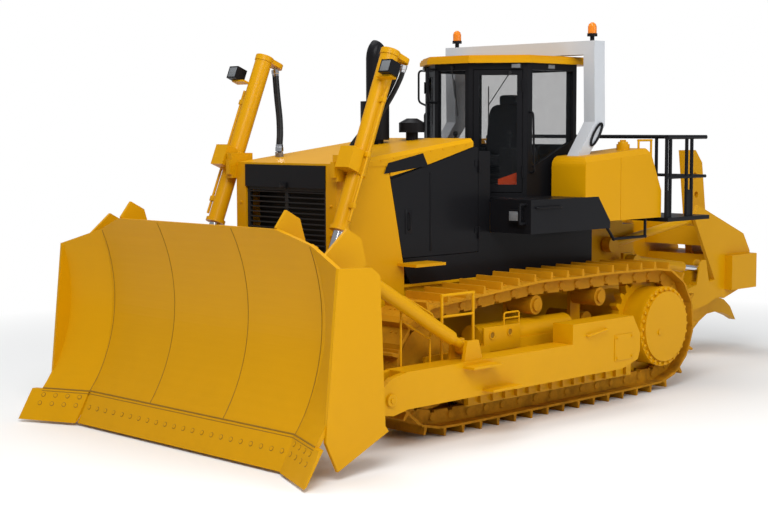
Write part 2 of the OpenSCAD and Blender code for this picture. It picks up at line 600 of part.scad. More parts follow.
module blade() color(paint) {
  blade_shell();
  blade_back();
  both() slab([[3720, blade_height - 307], [3300, blade_height - 325], [3195, blade_height - 400], [3130, 430], [3086, 374],
    [3740, 90], [3885, 377]], blade_half - 130, blade_half - 95);
  both() slab([[wing_x(rib_y, blade_height - 290, 25), blade_height - 290], [3583, blade_height - 215],
    [3298, blade_height + 16], [3121, blade_height - 80], [3061, blade_height - 328], [3200, blade_height - 470],
    [wing_x(rib_y, blade_height - 470, 25), blade_height - 470]], rib_y - 17, rib_y + 18);
}

edge_run = edge_top - edge_low;
edge_side = [edge_run[1], -edge_run[0]] / norm(edge_run);
module edge_bar(low_y, high_y)
  slab([edge_low, [edge_top[0], edge_seat], [edge_top[0] - 50, edge_seat], edge_low - edge_side * 36 + [0, 36]], low_y, high_y);
module cutting_edges() color("#5b5b5e") {
  edge_bar(-wing_bend_y + 4, wing_bend_y - 4);
  both() difference() {
    wing_place() edge_bar(1500, blade_half + 600);
    bend_side(-1);
    block([2000, blade_half, -100], [5000, blade_half + 900, 3000]);
    block([2000, 0, -100], [5000, wing_bend_y + 4, 3000]);
  }
}

module at_lift() translate([lift_top[0], lift_y, lift_top[1]]) rotate([0, 180 - lift_lean, 0]) children();
module lift_tube_shape() at_lift() difference() {
  union() {
    translate([0, 0, -tube_above]) cylinder(r = lift_tube_r, h = tube_above);
    cylinder(r = lift_tube_r - 7, h = tube_below);
    translate([0, 0, -115]) cylinder(r = 106, h = 230);
    translate([0, 0, tube_below - 40]) cylinder(r = 108, h = 40);
    translate([0, 0, -tube_above]) cylinder(r = 103, h = 60);
    rotate([90, 0, 0]) cylinder(r = lift_pin_r, h = lift_y - 817);
    block([0, -75, -tube_above], [190, 75, -tube_above + 55]);
    translate([190, 0, -tube_above]) cylinder(r = 74, h = 54);
    block([-215, -95, -125], [-60, 105, 105]);
    block(lamp_seat - [75, 150, 0], lamp_seat + [15, 60, 20]);
  }
  translate([0, 0, -tube_above + 40]) cylinder(r = lift_rod_r + pin_gap, h = tube_above + tube_below);
}
lamp_seat = [-75, 200, -925];
module lift_lamp_shape() at_lift() difference() {
  block(lamp_seat + [-140, -60, -140], lamp_seat + [0, 90, 0]);
  block(lamp_seat + [-150, -48, -128], lamp_seat + [-132, 78, -12]);
}
module lift_lamp_left() color(dark) lift_lamp_shape();
module lift_lamp_right() color(dark) mirror([0, 1, 0]) lift_lamp_shape();
module lift_tube_left() color(paint) lift_tube_shape();
module lift_tube_right() color(paint) mirror([0, 1, 0]) lift_tube_shape();
module lift_rod_shape() at_lift() {
  translate([0, 0, -150]) cylinder(r = lift_rod_r, h = lift_run + 80);
  translate([0, 50, lift_run]) rotate([90, 0, 0]) cylinder(r = 95, h = 100);
}
module lift_rod_left() color("#c9ccd0") lift_rod_shape();
module lift_rod_right() color("#c9ccd0") mirror([0, 1, 0]) lift_rod_shape();

hose_r = 26;
hose_step = [-25, 62];
function hood_top(x) = guard_top_z + 35 + (guard_front_x - 5 - x) * tan(hood_slope);
hose_points = [[1960, 560, 2945], [1948, 572, 3020], [1880, 640, 3150], [1800, 740, 3320], [1730, 850, 3520], [1680, 930, 3700],
  [1662, 960, 3800], [1655, 975, 3855]];
function hose_ring(p, shift) = [for (a = [0 : 45 : 315]) [p[0] + shift[0] + hose_r * cos(a), p[1] + shift[1] + hose_r * sin(a), p[2]]];
module hose(shift) {
  rings = [for (p = hose_points) each hose_ring(p, shift)];
  last = len(hose_points) - 1;
  polyhedron(rings, concat([[for (k = [0 : 7]) k]], [[for (k = [7 : -1 : 0]) last * 8 + k]],
    [for (i = [0 : last - 1], k = [0 : 7]) [i * 8 + k, (i + 1) * 8 + k, (i + 1) * 8 + (k + 1) % 8, i * 8 + (k + 1) % 8]]));
}
module hoses_left() color(dark) { hose([0, 0]); hose(hose_step); }
module hoses_right() color(dark) mirror([0, 1, 0]) { hose([0, 0]); hose(hose_step); }
module hose_blocks() color(steel) both() for (d = [[0, 0], hose_step])
  translate([1960 + d[0], 560 + d[1], hood_top(1960 + d[0])]) rotate([0, hood_slope, 0]) translate([0, 0, 0.02])
    cylinder(r = 34, h = 50);

module at_tilt() translate([tilt_top[0], tilt_y, tilt_top[1]]) rotate([0, 180 + tilt_slope, 0]) children();
module tilt_tubes() color(paint) both() at_tilt() difference() {
  union() {
    translate([0, strut_r, 0]) rotate([90, 0, 0]) cylinder(r = 80, h = 2 * strut_r);
    translate([0, 0, 60]) cylinder(r = 60, h = 90);
    translate([0, 0, 140]) cylinder(r = strut_r, h = 1490);
  }
  translate([0, 100, 0]) rotate([90, 0, 0]) cylinder(r = tilt_pin_r + pin_gap, h = 200);
  translate([0, 0, 700]) cylinder(r = 46 + pin_gap, h = 1000);
}
module tilt_rods() color("#c9ccd0") both() at_tilt() {
  translate([0, 0, 900]) cylinder(r = 46, h = tilt_run - 950);
  translate([0, strut_r, tilt_run]) rotate([90, 0, 0]) cylinder(r = 75, h = 2 * strut_r);
}

module ripper_arms() color(paint) both() {
  difference() {
    slab([ripper_hinge + [120, -60], ripper_hinge + [60, 130], ripper_hinge + [-150, 150], [-4260, 1090], [-4330, 1380],
      [-4400, 1420], [-4480, 1410], [-4560, 1100], ripper_pin + [-110, 80], ripper_pin + [-110, -80], ripper_pin + [60, -140],
      ripper_hinge + [-150, -150], ripper_hinge + [60, -130]], 640, 760);
    shaft(ripper_pin, ripper_pin_r + pin_gap, 600, 800);
    slab([[-4150, 1130], [-4640, 1130], [-4640, 1500], [-4150, 1500]], ripper_arm_y - 42, ripper_arm_y + 42);
  }
  shaft(ripper_hinge, ripper_pin_r, 500, 700);
}

link_dir = atan2(ripper_pin[0] - ripper_hinge[0], ripper_pin[1] - ripper_hinge[1]);
module ripper_links() color(paint) both() {
  translate([link_hinge[0], ripper_link_y, link_hinge[1]]) rotate([0, link_dir, 0]) {
    translate([0, 60, 0]) rotate([90, 0, 0]) cylinder(r = 100, h = 120);
    translate([0, 0, 60]) cylinder(r = 54, h = ripper_reach - 120);
    translate([0, 60, ripper_reach]) rotate([90, 0, 0]) cylinder(r = 100, h = 120);
  }
  shaft(link_hinge, 60, 340, 450);
}

function shank_x(z) = shank_top[0] - (shank_top[1] - z) * tan(shank_lean);
shank_half = shank_width / 2 / cos(shank_lean);
module ripper_carriage() color(paint) {
  both() slab([[-4390, 1980], [-4480, 2150], [-5620, 1710], [-5790, 1460], [-5790, 1000], [-5140, 830], [-5040, 880]], 575, 625);
  both() slab([[-5200, 1150], [-4640, 1070], [-4520, 1010], [-4500, 900], [-4600, 850], [-5200, 850]], 575, 625);
  both() block([-5790, 615, 950], [-5160, 740, 1430]);
  both() shaft(ripper_pin, ripper_pin_r, 560, 760);
  difference() {
    union() {
      block([-5790, -580, 950], [-5040, 580, 1430]);
      slab([[-5600, 1560], [-5600, 1690], [-4950, 1900], [-4950, 1560]], -580, 580);
    }
    slab([[shank_x(900) - shank_half - seal, 900], [shank_x(2100) - shank_half - seal, 2100],
      [shank_x(2100) + shank_half + seal, 2100], [shank_x(900) + shank_half + seal, 900]],
      -shank_thick / 2 - seal, shank_thick / 2 + seal);
  }
}

module ripper_shank() color(paint) difference() {
  shank_shape();
  for (z = [2250, 2520]) shaft([shank_x(z), z], shank_hole_r, -200, 200);
}
module shank_shape() slab([[shank_x(2880) + shank_half, 2880], [shank_x(2880) - 60, 2880],
  [shank_x(2700) - shank_half, 2700], [shank_x(850) - shank_half, 850], [-5800, 775], [-6050, 690], [-6210, 580],
  [rear_reach, 370], [-6200, 440], [-6000, 505], [-5800, 535], [-5600, 520], [-5400, 430], [-5200, 290], [-5020, 140],
  [-5060, 260], [-5150, 430], [-5230, 620], [shank_x(850) + shank_half, 850]], -shank_thick / 2, shank_thick / 2);

module at_ram() translate([ram_top[0], ripper_arm_y, ram_top[1]]) rotate([0, ram_slope, 0]) children();
module ripper_tubes() color(paint) both() {
  at_ram() difference() {
    union() {
      translate([0, 60, 0]) rotate([90, 0, 0]) cylinder(r = 80, h = 120);
      translate([0, 0, 50]) cylinder(r = ram_r, h = 1050);
    }
    translate([0, 0, 200]) cylinder(r = ram_rod_r + pin_gap, h = 1000);
  }
  shaft(ram_top, 50, 576, 660);
}
module ripper_rods() color("#c9ccd0") both() at_ram() {
  translate([0, 0, 300]) cylinder(r = ram_rod_r, h = ram_run - 340);
  translate([0, 35, ram_run]) rotate([90, 0, 0]) cylinder(r = 70, h = 70);
}

row() main_frame();
row() engine_block();
row() radiator_guard();
row() nose_band();
row() grille();
row() engine_hood();
row() engine_door_left();
row() engine_door_right();
row() side_skirts();
row() exhaust_stack();
row() precleaner();
row() platform();
row() side_tanks();
row() cab_frame();
row() cab_roof();
row() cab_glass();
row() cab_door_left();
row() cab_door_right();
row() door_glass_left();
row() door_glass_right();
row() seat();
row() consoles();
row() rops_frame();
row() lamp_bodies();
row() beacons();
row() rear_deck();
row() rear_rails();
row() lift_yokes();
row() cross_shafts();
row() track_frames();
row() track_left();
row() track_right();
row() sprockets();
row() idlers();
row() track_rollers();
row() push_arm_left();
row() push_arm_right();
row() arm_steps();
row() blade();
row() cutting_edges();
row() lift_tube_left();
row() lift_tube_right();
row() lift_lamp_left();
row() lift_lamp_right();
row() lift_rod_left();
row() lift_rod_right();
row() hose_blocks();
row() hoses_left();
row() hoses_right();
row() tilt_tubes();
row() tilt_rods();
row() ripper_arms();
row() ripper_links();
row() ripper_carriage();
row() ripper_shank();
row() ripper_tubes();
row() ripper_rods();
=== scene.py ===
import json
import math

import bmesh
import bpy
from mathutils import Matrix, Vector
from mathutils.bvhtree import BVHTree


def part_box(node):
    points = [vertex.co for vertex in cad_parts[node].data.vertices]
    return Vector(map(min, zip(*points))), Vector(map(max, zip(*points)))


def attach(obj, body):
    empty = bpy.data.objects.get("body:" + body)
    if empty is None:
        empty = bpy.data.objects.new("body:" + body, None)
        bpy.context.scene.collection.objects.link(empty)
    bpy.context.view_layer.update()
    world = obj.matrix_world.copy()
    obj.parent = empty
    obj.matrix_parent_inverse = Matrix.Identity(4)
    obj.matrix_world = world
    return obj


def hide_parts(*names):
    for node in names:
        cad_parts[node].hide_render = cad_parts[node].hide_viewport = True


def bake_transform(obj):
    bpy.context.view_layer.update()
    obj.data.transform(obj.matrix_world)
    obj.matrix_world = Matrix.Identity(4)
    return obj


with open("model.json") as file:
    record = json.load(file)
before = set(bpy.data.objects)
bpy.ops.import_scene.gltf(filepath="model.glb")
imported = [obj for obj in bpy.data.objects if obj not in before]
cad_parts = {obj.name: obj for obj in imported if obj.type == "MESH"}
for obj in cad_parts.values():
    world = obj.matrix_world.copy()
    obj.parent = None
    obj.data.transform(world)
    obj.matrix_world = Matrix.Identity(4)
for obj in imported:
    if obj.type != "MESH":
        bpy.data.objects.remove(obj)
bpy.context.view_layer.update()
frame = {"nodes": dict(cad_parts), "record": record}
nodes = frame["nodes"]
axleX = -2.3  # the sprocket axle in machine metres
sprocketLow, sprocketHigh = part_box("sprockets")
rowShift = (sprocketLow.x + sprocketHigh.x) / 2 - axleX
sides = (("left", 1), ("right", -1))
fullTurn = 2 * math.pi
rayRoom = 0.5  # how far outside a node a ray starts
print("frame loaded:", len(nodes), "nodes")


def at(x, y, z):  # machine metres to the place of the frame
    return Vector((x + rowShift, y, z))


def flipped(point, sign):
    return Vector((point[0], sign * point[1], point[2]))


def addObject(name, data):
    thing = bpy.data.objects.new(name, data)
    bpy.context.scene.collection.objects.link(thing)
    return thing


def feed(tree, socket, value):  # a plain value is set, an output is linked
    if isinstance(value, (int, float, str, tuple)):
        socket.default_value = value
    else:
        tree.links.new(value, socket)


def addNode(tree, kind, inputs, **settings):
    node = tree.nodes.new(kind)
    for label, value in settings.items():
        setattr(node, label, value)
    for label, value in inputs.items():
        feed(tree, node.inputs[label], value)
    return node.outputs


def mathNode(tree, operation, first, second):
    return addNode(tree, "ShaderNodeMath", {0: first, 1: second}, operation=operation)[0]


def rangeNode(tree, value, low, high, toLow=0.0, toHigh=1.0):
    inputs = {"Value": value, "From Min": low, "From Max": high, "To Min": toLow, "To Max": toHigh}
    return addNode(tree, "ShaderNodeMapRange", inputs)["Result"]


def noiseNode(tree, coords, scale, detail, roughness=0.55):
    inputs = {"Vector": coords, "Scale": scale, "Detail": detail, "Roughness": roughness}
    return addNode(tree, "ShaderNodeTexNoise", inputs)["Fac"]


def mixColour(tree, factor, first, second):  # 0, 6, 7 and 2 are the sockets of a colour mix
    return addNode(tree, "ShaderNodeMix", {0: factor, 6: first, 7: second}, data_type="RGBA")[2]


def newMaterial(name, constants):
    material = bpy.data.materials.new(name)
    material.use_nodes = True
    tree = material.node_tree
    shader = tree.nodes["Principled BSDF"]
    for label, value in constants.items():
        shader.inputs[label].default_value = value
    return material, tree, shader


photoView = {
    "spot": (12.989, 12.136, 3.211), "yaw": -2.357, "pitch": -0.084, "roll": -0.002, "lens": 71.03,
    "sensor": 36.0, "shift": (-0.00588, -0.0017), "farClip": 400.0}
studio = {
    "floorColour": (0.92, 0.92, 0.91), "floorSize": 120.0, "floorRoughness": 0.9,
    "floorSpecular": 0.1, "worldColour": (0.86, 0.9, 0.95), "worldStrength": 0.36,
    "fadeStart": 5.5, "fadeEnd": 11.0, "fadeCentre": (-0.7, 0.0, 0.0)}
lamps = {
    "keyLamp": {"spot": (10, 9, 13), "target": (0, 0, 1.5), "size": 9, "power": 1720.0},
    "fillLamp": {"spot": (-3, 14, 8), "target": (-1, 0, 1.5), "size": 10, "power": 620.0},
    "topLamp": {"spot": (1, -3, 14), "target": (0, 0, 1.5), "size": 12, "power": 1000.0}}


def makeCamera(view):
    yaw, pitch, roll = view["yaw"], view["pitch"], view["roll"]
    level = math.cos(pitch)
    forward = Vector((math.cos(yaw) * level, math.sin(yaw) * level, math.sin(pitch)))
    right = Vector((math.sin(yaw), -math.cos(yaw), 0.0))
    up = right.cross(forward)
    tiltedRight = right * math.cos(roll) + up * math.sin(roll)
    tiltedUp = up * math.cos(roll) - right * math.sin(roll)
    turn = Matrix((tiltedRight, tiltedUp, -forward)).transposed().to_4x4()
    data = bpy.data.cameras.new("photoCamera")
    data.lens, data.sensor_width, data.clip_end = view["lens"], view["sensor"], view["farClip"]
    data.shift_x, data.shift_y = view["shift"]
    camera = addObject("photoCamera", data)
    camera.matrix_world = Matrix.Translation(at(*view["spot"])) @ turn
    bpy.context.scene.camera = camera


def makeLamp(name, settings):
    data = bpy.data.lights.new(name, "AREA")
    data.shape, data.size, data.energy = "DISK", settings["size"], settings["power"]
    spot, target = at(*settings["spot"]), at(*settings["target"])
    turn = (target - spot).to_track_quat("-Z", "Y").to_matrix().to_4x4()
    addObject(name, data).matrix_world = Matrix.Translation(spot) @ turn


def fadeToWhite(tree, shader, settings):  # the far floor shows white, the near one keeps its shadow
    place = addNode(tree, "ShaderNodeNewGeometry", {})["Position"]
    centre = tuple(at(*settings["fadeCentre"]))
    away = addNode(tree, "ShaderNodeVectorMath", {0: place, 1: centre}, operation="DISTANCE")
    far = rangeNode(tree, away["Value"], settings["fadeStart"], settings["fadeEnd"])
    path = addNode(tree, "ShaderNodeLightPath", {})
    seen = path["Is Camera Ray"]
    for label in ("Is Glossy Ray", "Is Transmission Ray"):
        seen = mathNode(tree, "MAXIMUM", seen, path[label])
    white = addNode(tree, "ShaderNodeEmission", {})["Emission"]
    share = mathNode(tree, "MULTIPLY", far, seen)
    mix = addNode(tree, "ShaderNodeMixShader", {0: share, 1: shader.outputs["BSDF"], 2: white})
    tree.links.new(mix["Shader"], tree.nodes["Material Output"].inputs["Surface"])


def makeFloor(settings):
    half = settings["floorSize"] / 2
    corners = [(-half, -half, 0), (half, -half, 0), (half, half, 0), (-half, half, 0)]
    mesh = bpy.data.meshes.new("floor")
    mesh.from_pydata(corners, [], [(0, 1, 2, 3)])
    material, tree, shader = newMaterial("paleFloor", {
        "Base Color": (*settings["floorColour"], 1), "Roughness": settings["floorRoughness"],
        "Specular IOR Level": settings["floorSpecular"]})
    fadeToWhite(tree, shader, settings)
    mesh.materials.append(material)
    addObject("floor", mesh)


def makeSky(settings):  # a soft light that the camera itself sees as white
    world = bpy.data.worlds.new("softSky")
    bpy.context.scene.world = world
    world.use_nodes = True
    tree = world.node_tree
    tree.nodes.clear()
    output = tree.nodes.new("ShaderNodeOutputWorld")
    sky = addNode(tree, "ShaderNodeBackground", {
        "Color": (*settings["worldColour"], 1), "Strength": settings["worldStrength"]})[0]
    white = addNode(tree, "ShaderNodeBackground", {"Color": (1, 1, 1, 1)})[0]
    seen = addNode(tree, "ShaderNodeLightPath", {})["Is Camera Ray"]
    mix = addNode(tree, "ShaderNodeMixShader", {0: seen, 1: sky, 2: white})
    tree.links.new(mix["Shader"], output.inputs["Surface"])


makeCamera(photoView)
makeFloor(studio)
makeSky(studio)
for lampName, lampSettings in lamps.items():
    makeLamp(lampName, lampSettings)
bpy.context.scene.view_settings.view_transform = "Standard"
print("camera and studio ready")

paintGrain = {
    "broad": (1.3, 3), "patch": (5.0, 8, 0.65), "peel": (260.0, 2), "spots": (0.45, 0.75),
    "lowShare": 0.35, "upward": (0.6, 1.0), "topShare": 0.35, "mostDust": 0.85, "dustRough": 0.6,
    "driftRough": 0.5}
metalGrain = {
    "patch": (8, 0.65), "fine": (90.0, 5, 0.7), "mask": (0.42, 0.68), "maskRough": 0.35,
    "scratches": (0.3, 0.7), "scratchRough": 0.06}
glassGrain = {
    "roughness": 0.03, "ior": 1.5, "specular": 0.3, "grime": (9.0, 6), "spots": (0.3, 0.8),
    "haze": 0.02}
filmOutputs = {"Colour": "Color", "Roughness": "Float", "Height": "Float"}


def newGroup(name, kind, inputs, outputs):
    group = bpy.data.node_groups.new(name, kind + "NodeTree")
    for way, sockets in (("INPUT", inputs), ("OUTPUT", outputs)):
        for label, value in sockets.items():
            group.interface.new_socket(label, in_out=way, socket_type="NodeSocket" + value)
    start, end = group.nodes.new("NodeGroupInput"), group.nodes.new("NodeGroupOutput")
    return group, start.outputs, end.inputs


def buildPaintFilm(grain):  # tone drift of a sprayed coat, orange peel, dust low down and on top
    group, start, end = newGroup("paintFilm", "Shader", {
        "Colour": "Color", "Dust Colour": "Color", "Roughness": "Float", "Dust": "Float",
        "Dust Height": "Float", "Drift": "Float"}, filmOutputs)

    def times(first, second):
        return mathNode(group, "MULTIPLY", first, second)

    def plus(first, second):
        return mathNode(group, "ADD", first, second)

    coords = addNode(group, "ShaderNodeTexCoord", {})["Object"]
    broad = noiseNode(group, coords, *grain["broad"])
    patch = noiseNode(group, coords, *grain["patch"])
    peel = noiseNode(group, coords, *grain["peel"])
    height = addNode(group, "ShaderNodeSeparateXYZ", {0: coords})["Z"]
    low = rangeNode(group, height, start["Dust Height"], 0.0)
    spots = rangeNode(group, patch, *grain["spots"])
    lowDust = times(low, plus(spots, grain["lowShare"]))
    normal = addNode(group, "ShaderNodeNewGeometry", {})["Normal"]
    upward = addNode(group, "ShaderNodeSeparateXYZ", {0: normal})["Z"]
    topDust = times(rangeNode(group, upward, *grain["upward"], 0.0, grain["topShare"]), spots)
    dust = times(plus(lowDust, topDust), start["Dust"])
    dust = mathNode(group, "MINIMUM", dust, grain["mostDust"])
    drift = times(mathNode(group, "SUBTRACT", broad, 0.5), start["Drift"])
    toned = addNode(group, "ShaderNodeVectorMath",
                    {0: start["Colour"], "Scale": plus(drift, 1.0)}, operation="SCALE")[0]
    group.links.new(mixColour(group, dust, toned, start["Dust Colour"]), end["Colour"])
    rough = plus(start["Roughness"], times(dust, grain["dustRough"]))
    group.links.new(plus(rough, times(drift, grain["driftRough"])), end["Roughness"])
    group.links.new(plus(peel, times(dust, patch)), end["Height"])
    return group


def buildBareMetal(grain):  # steel with dull patches and fine scratches
    group, start, end = newGroup("bareMetal", "Shader", {
        "Colour": "Color", "Patch Colour": "Color", "Roughness": "Float", "Patches": "Float",
        "Scale": "Float"}, filmOutputs)
    coords = addNode(group, "ShaderNodeTexCoord", {})["Object"]
    patch = noiseNode(group, coords, start["Scale"], *grain["patch"])
    fine = noiseNode(group, coords, *grain["fine"])
    mask = mathNode(group, "MULTIPLY", rangeNode(group, patch, *grain["mask"]), start["Patches"])
    colour = mixColour(group, mask, start["Colour"], start["Patch Colour"])
    group.links.new(colour, end["Colour"])
    rough = mathNode(group, "MULTIPLY", mask, grain["maskRough"])
    rough = mathNode(group, "ADD", start["Roughness"], rough)
    change = grain["scratchRough"]
    scratches = rangeNode(group, fine, *grain["scratches"], -change, change)
    group.links.new(mathNode(group, "ADD", rough, scratches), end["Roughness"])
    group.links.new(mathNode(group, "ADD", fine, mask), end["Height"])
    return group


paintFilm, bareMetal = buildPaintFilm(paintGrain), buildBareMetal(metalGrain)


def filmMaterial(name, group, values, metallic=0.0, coat=0.0, coatRough=0.1, specular=0.2,
                 bump=0.05, distance=0.002):
    material, tree, shader = newMaterial(name, {
        "Metallic": metallic, "Specular IOR Level": specular, "Coat Weight": coat,
        "Coat Roughness": coatRough})
    film = addNode(tree, "ShaderNodeGroup", values, node_tree=group)
    relief = addNode(tree, "ShaderNodeBump", {
        "Strength": bump, "Distance": distance, "Height": film["Height"]})
    tree.links.new(film["Colour"], shader.inputs["Base Color"])
    tree.links.new(film["Roughness"], shader.inputs["Roughness"])
    tree.links.new(relief["Normal"], shader.inputs["Normal"])
    return material


def paint(name, colour, dustColour=(0.1, 0.09, 0.08), roughness=0.4, dust=0.1, dustHeight=1.0,
          drift=0.1, **surface):
    return filmMaterial(name, paintFilm, {
        "Colour": (*colour, 1), "Dust Colour": (*dustColour, 1), "Roughness": roughness,
        "Dust": dust, "Dust Height": dustHeight, "Drift": drift}, **surface)


def metal(name, colour, patchColour, roughness, patches, scale, **surface):
    return filmMaterial(name, bareMetal, {
        "Colour": (*colour, 1), "Patch Colour": (*patchColour, 1), "Roughness": roughness,
        "Patches": patches, "Scale": scale}, specular=0.5, **surface)


def glass(name, colour, alpha):
    material, tree, shader = newMaterial(name, {
        "Base Color": (*colour, 1), "Roughness": glassGrain["roughness"], "IOR": glassGrain["ior"],
        "Specular IOR Level": glassGrain["specular"]})
    coords = addNode(tree, "ShaderNodeTexCoord", {})["Object"]
    grime = noiseNode(tree, coords, *glassGrain["grime"])
    haze = rangeNode(tree, grime, *glassGrain["spots"], alpha, alpha + glassGrain["haze"])
    tree.links.new(haze, shader.inputs["Alpha"])
    return material


yellowPaint = paint(
    "yellowPaint", colour=(0.65, 0.312, 0.001), dustColour=(0.36, 0.19, 0.008), dust=0.12,
    dustHeight=1.2, drift=0.08, coat=0.06, coatRough=0.15, specular=0.1)
trackPaint = paint(
    "trackPaint", colour=(0.56, 0.245, 0.002), dustColour=(0.14, 0.06, 0.008), roughness=0.55,
    dust=0.65, dustHeight=2.0, drift=0.2, specular=0.15, bump=0.2)
blackPaint = paint(
    "blackPaint", colour=(0.009, 0.009, 0.0105), roughness=0.36, dust=0.04, dustHeight=1.6,
    drift=0.3, coat=0.04, coatRough=0.12, specular=0.08)
greyPaint = paint(
    "greyPaint", colour=(0.6, 0.62, 0.65), dustColour=(0.2, 0.18, 0.15), metallic=0.15, coat=0.1)
mattBlack = paint("mattBlack", colour=(0.02, 0.02, 0.021), roughness=0.6, drift=0.3, bump=0.25)
# dark weld seams are real joints; the same colour is also painted shade in the rims of sunk edge
# bolts, along the step at the top of the cutting edge and inside the recoil plate holes
seamAndShadePaint = paint(
    "seamAndShadePaint", colour=(0.3, 0.15, 0.004), dustColour=(0.2, 0.15, 0.08), roughness=0.5, dust=0.3,
    dustHeight=1.5, bump=0.1)
orangePaint = paint("orangePaint", colour=(0.9, 0.085, 0.008), dustColour=(0.2, 0.15, 0.1))
seatFabric = paint(
    "seatFabric", colour=(0.02, 0.02, 0.022), dustColour=(0.1, 0.1, 0.1), roughness=0.85,
    drift=0.4, bump=0.6, distance=0.004)
hoseRubber = paint("hoseRubber", colour=(0.012, 0.012, 0.012), roughness=0.45, drift=0.3, bump=0.15)
wornSteel = metal(
    "wornSteel", colour=(0.3, 0.29, 0.28), patchColour=(0.1, 0.075, 0.05), roughness=0.42,
    patches=0.6, scale=7.0, metallic=0.85, bump=0.25)
polishedRod = metal(
    "polishedRod", colour=(0.72, 0.72, 0.74), patchColour=(0.5, 0.48, 0.45), roughness=0.1,
    patches=0.2, scale=12.0, metallic=1.0, bump=0.02)
cabGlassTint = glass("cabGlassTint", (0.012, 0.014, 0.016), 0.2)
amberLens = glass("amberLens", (0.9, 0.25, 0.01), 0.88)
lampLens = glass("lampLens", (0.2, 0.21, 0.22), 0.85)
slotMaterial = {
    "paint": yellowPaint, "dark": blackPaint, "grey": greyPaint, "steel": wornSteel,
    "track": trackPaint, "chrome": polishedRod, "glass": cabGlassTint, "amber": amberLens,
    "trim": mattBlack, "fabric": mattBlack}
nodeMaterial = {
    "cutting_edges": yellowPaint, "track_rollers": trackPaint, "idlers": trackPaint,
    "cross_shafts": trackPaint, "track_frames": yellowPaint, "grille": mattBlack,
    "engine_block": mattBlack, "tilt_rods": yellowPaint}
slots = {part["node"]: part["material_slot"] for part in frame["record"]["subparts"]}
for nodeName, nodePart in nodes.items():
    nodePart.data.materials.clear()
    nodePart.data.materials.append(nodeMaterial.get(nodeName, slotMaterial[slots[nodeName]]))
print("materials set on the frame")


def joinInto(build, part, place=None):
    if place is not None:
        bmesh.ops.transform(part, matrix=place, verts=part.verts)
    scratch = bpy.data.meshes.new("scratch")
    part.to_mesh(scratch)
    part.free()
    build.from_mesh(scratch)
    bpy.data.meshes.remove(scratch)


def stretch(part, size, middle=(0, 0, 0)):
    for vert in part.verts:
        x, y, z = vert.co
        vert.co = Vector((x * size[0], y * size[1], z * size[2])) + Vector(middle)


def addBlock(build, low, high, bevel, place=None):
    part = bmesh.new()
    bmesh.ops.create_cube(part, size=1.0)
    low, high = Vector(low), Vector(high)
    stretch(part, high - low, (low + high) / 2)
    bmesh.ops.bevel(part, geom=list(part.edges), offset=bevel, segments=2, profile=0.5,
                    affect="EDGES")
    joinInto(build, part, place)


def addSideBlock(build, low, high, sign, bevel, place=None):  # low and high are the left side's
    lowY, highY = sorted((sign * low[1], sign * high[1]))
    addBlock(build, (low[0], lowY, low[2]), (high[0], highY, high[2]), bevel, place)


def addPlate(build, corners, depth, bevel):  # an outline, thickened along depth
    part = bmesh.new()
    back = [part.verts.new(Vector(corner)) for corner in corners]
    front = [part.verts.new(Vector(corner) + Vector(depth)) for corner in corners]
    part.faces.new(back)
    part.faces.new(front[::-1])
    for i in range(len(corners)):
        j = (i + 1) % len(corners)
        part.faces.new((back[i], back[j], front[j], front[i]))
    bmesh.ops.bevel(part, geom=list(part.edges), offset=bevel, segments=1, affect="EDGES")
    joinInto(build, part)


def circle(count):
    angles = [fullTurn * k / count for k in range(count)]
    return [(math.cos(angle), math.sin(angle)) for angle in angles]


def joinRings(part, rings, count):  # a ring of one vertex closes an end
    for low, high in zip(rings, rings[1:]):
        for k in range(count):
            corners = (low[k % len(low)], low[(k + 1) % len(low)],
                       high[(k + 1) % len(high)], high[k % len(high)])
            part.faces.new(list(dict.fromkeys(corners)))


def addLathe(build, profile, place, count):  # profile holds (radius, height) about local z
    part = bmesh.new()
    rings = []
    for radius, height in profile:
        ring = circle(count) if radius > 0 else [(0, 0)]
        rings.append([part.verts.new((radius * c, radius * s, height)) for c, s in ring])
    joinRings(part, rings, count)
    joinInto(build, part, place)


def along(spot, direction):
    turn = Vector(direction).to_track_quat("Z", "Y").to_matrix().to_4x4()
    return Matrix.Translation(spot) @ turn


def smoothPath(points, steps):  # a curve through all the points
    points = [Vector(p) for p in points]
    ends = [2 * points[0] - points[1]] + points + [2 * points[-1] - points[-2]]
    path = []
    for a, b, c, d in zip(ends, ends[1:], ends[2:], ends[3:]):
        for k in range(steps):
            t = k / steps
            square, cube = 2 * a - 5 * b + 4 * c - d, 3 * b - a - 3 * c + d
            path.append(0.5 * (2 * b + (c - a) * t + square * t * t + cube * t ** 3))
    return path + [points[-1]]


def roundedPath(points, radius, steps=5):  # straight runs joined by bends
    points = [Vector(p) for p in points]
    path = [points[0]]
    for before, corner, after in zip(points, points[1:], points[2:]):
        start = corner + (before - corner).normalized() * radius
        end = corner + (after - corner).normalized() * radius
        for k in range(steps + 1):
            t = k / steps
            path.append(start * (1 - t) ** 2 + corner * 2 * t * (1 - t) + end * t * t)
    return path + [points[-1]]


def addTube(build, path, radius, count=14):
    part = bmesh.new()
    heading = (path[1] - path[0]).normalized()
    across = heading.orthogonal().normalized()
    rings = []
    for i, spot in enumerate(path):
        ahead = (path[min(i + 1, len(path) - 1)] - path[max(i - 1, 0)]).normalized()
        across = (across - ahead * across.dot(ahead)).normalized()
        side = ahead.cross(across)
        rings.append([part.verts.new(spot + radius * (across * c + side * s))
                      for c, s in circle(count)])
    joinRings(part, rings, count)
    part.faces.new(rings[0][::-1])
    part.faces.new(rings[-1])
    joinInto(build, part)


def addBar(build, bar, sign=1):
    run = [at(*flipped(spot, sign)) for spot in bar["run"]]
    addTube(build, roundedPath(run, bar["bend"]), bar["radius"])


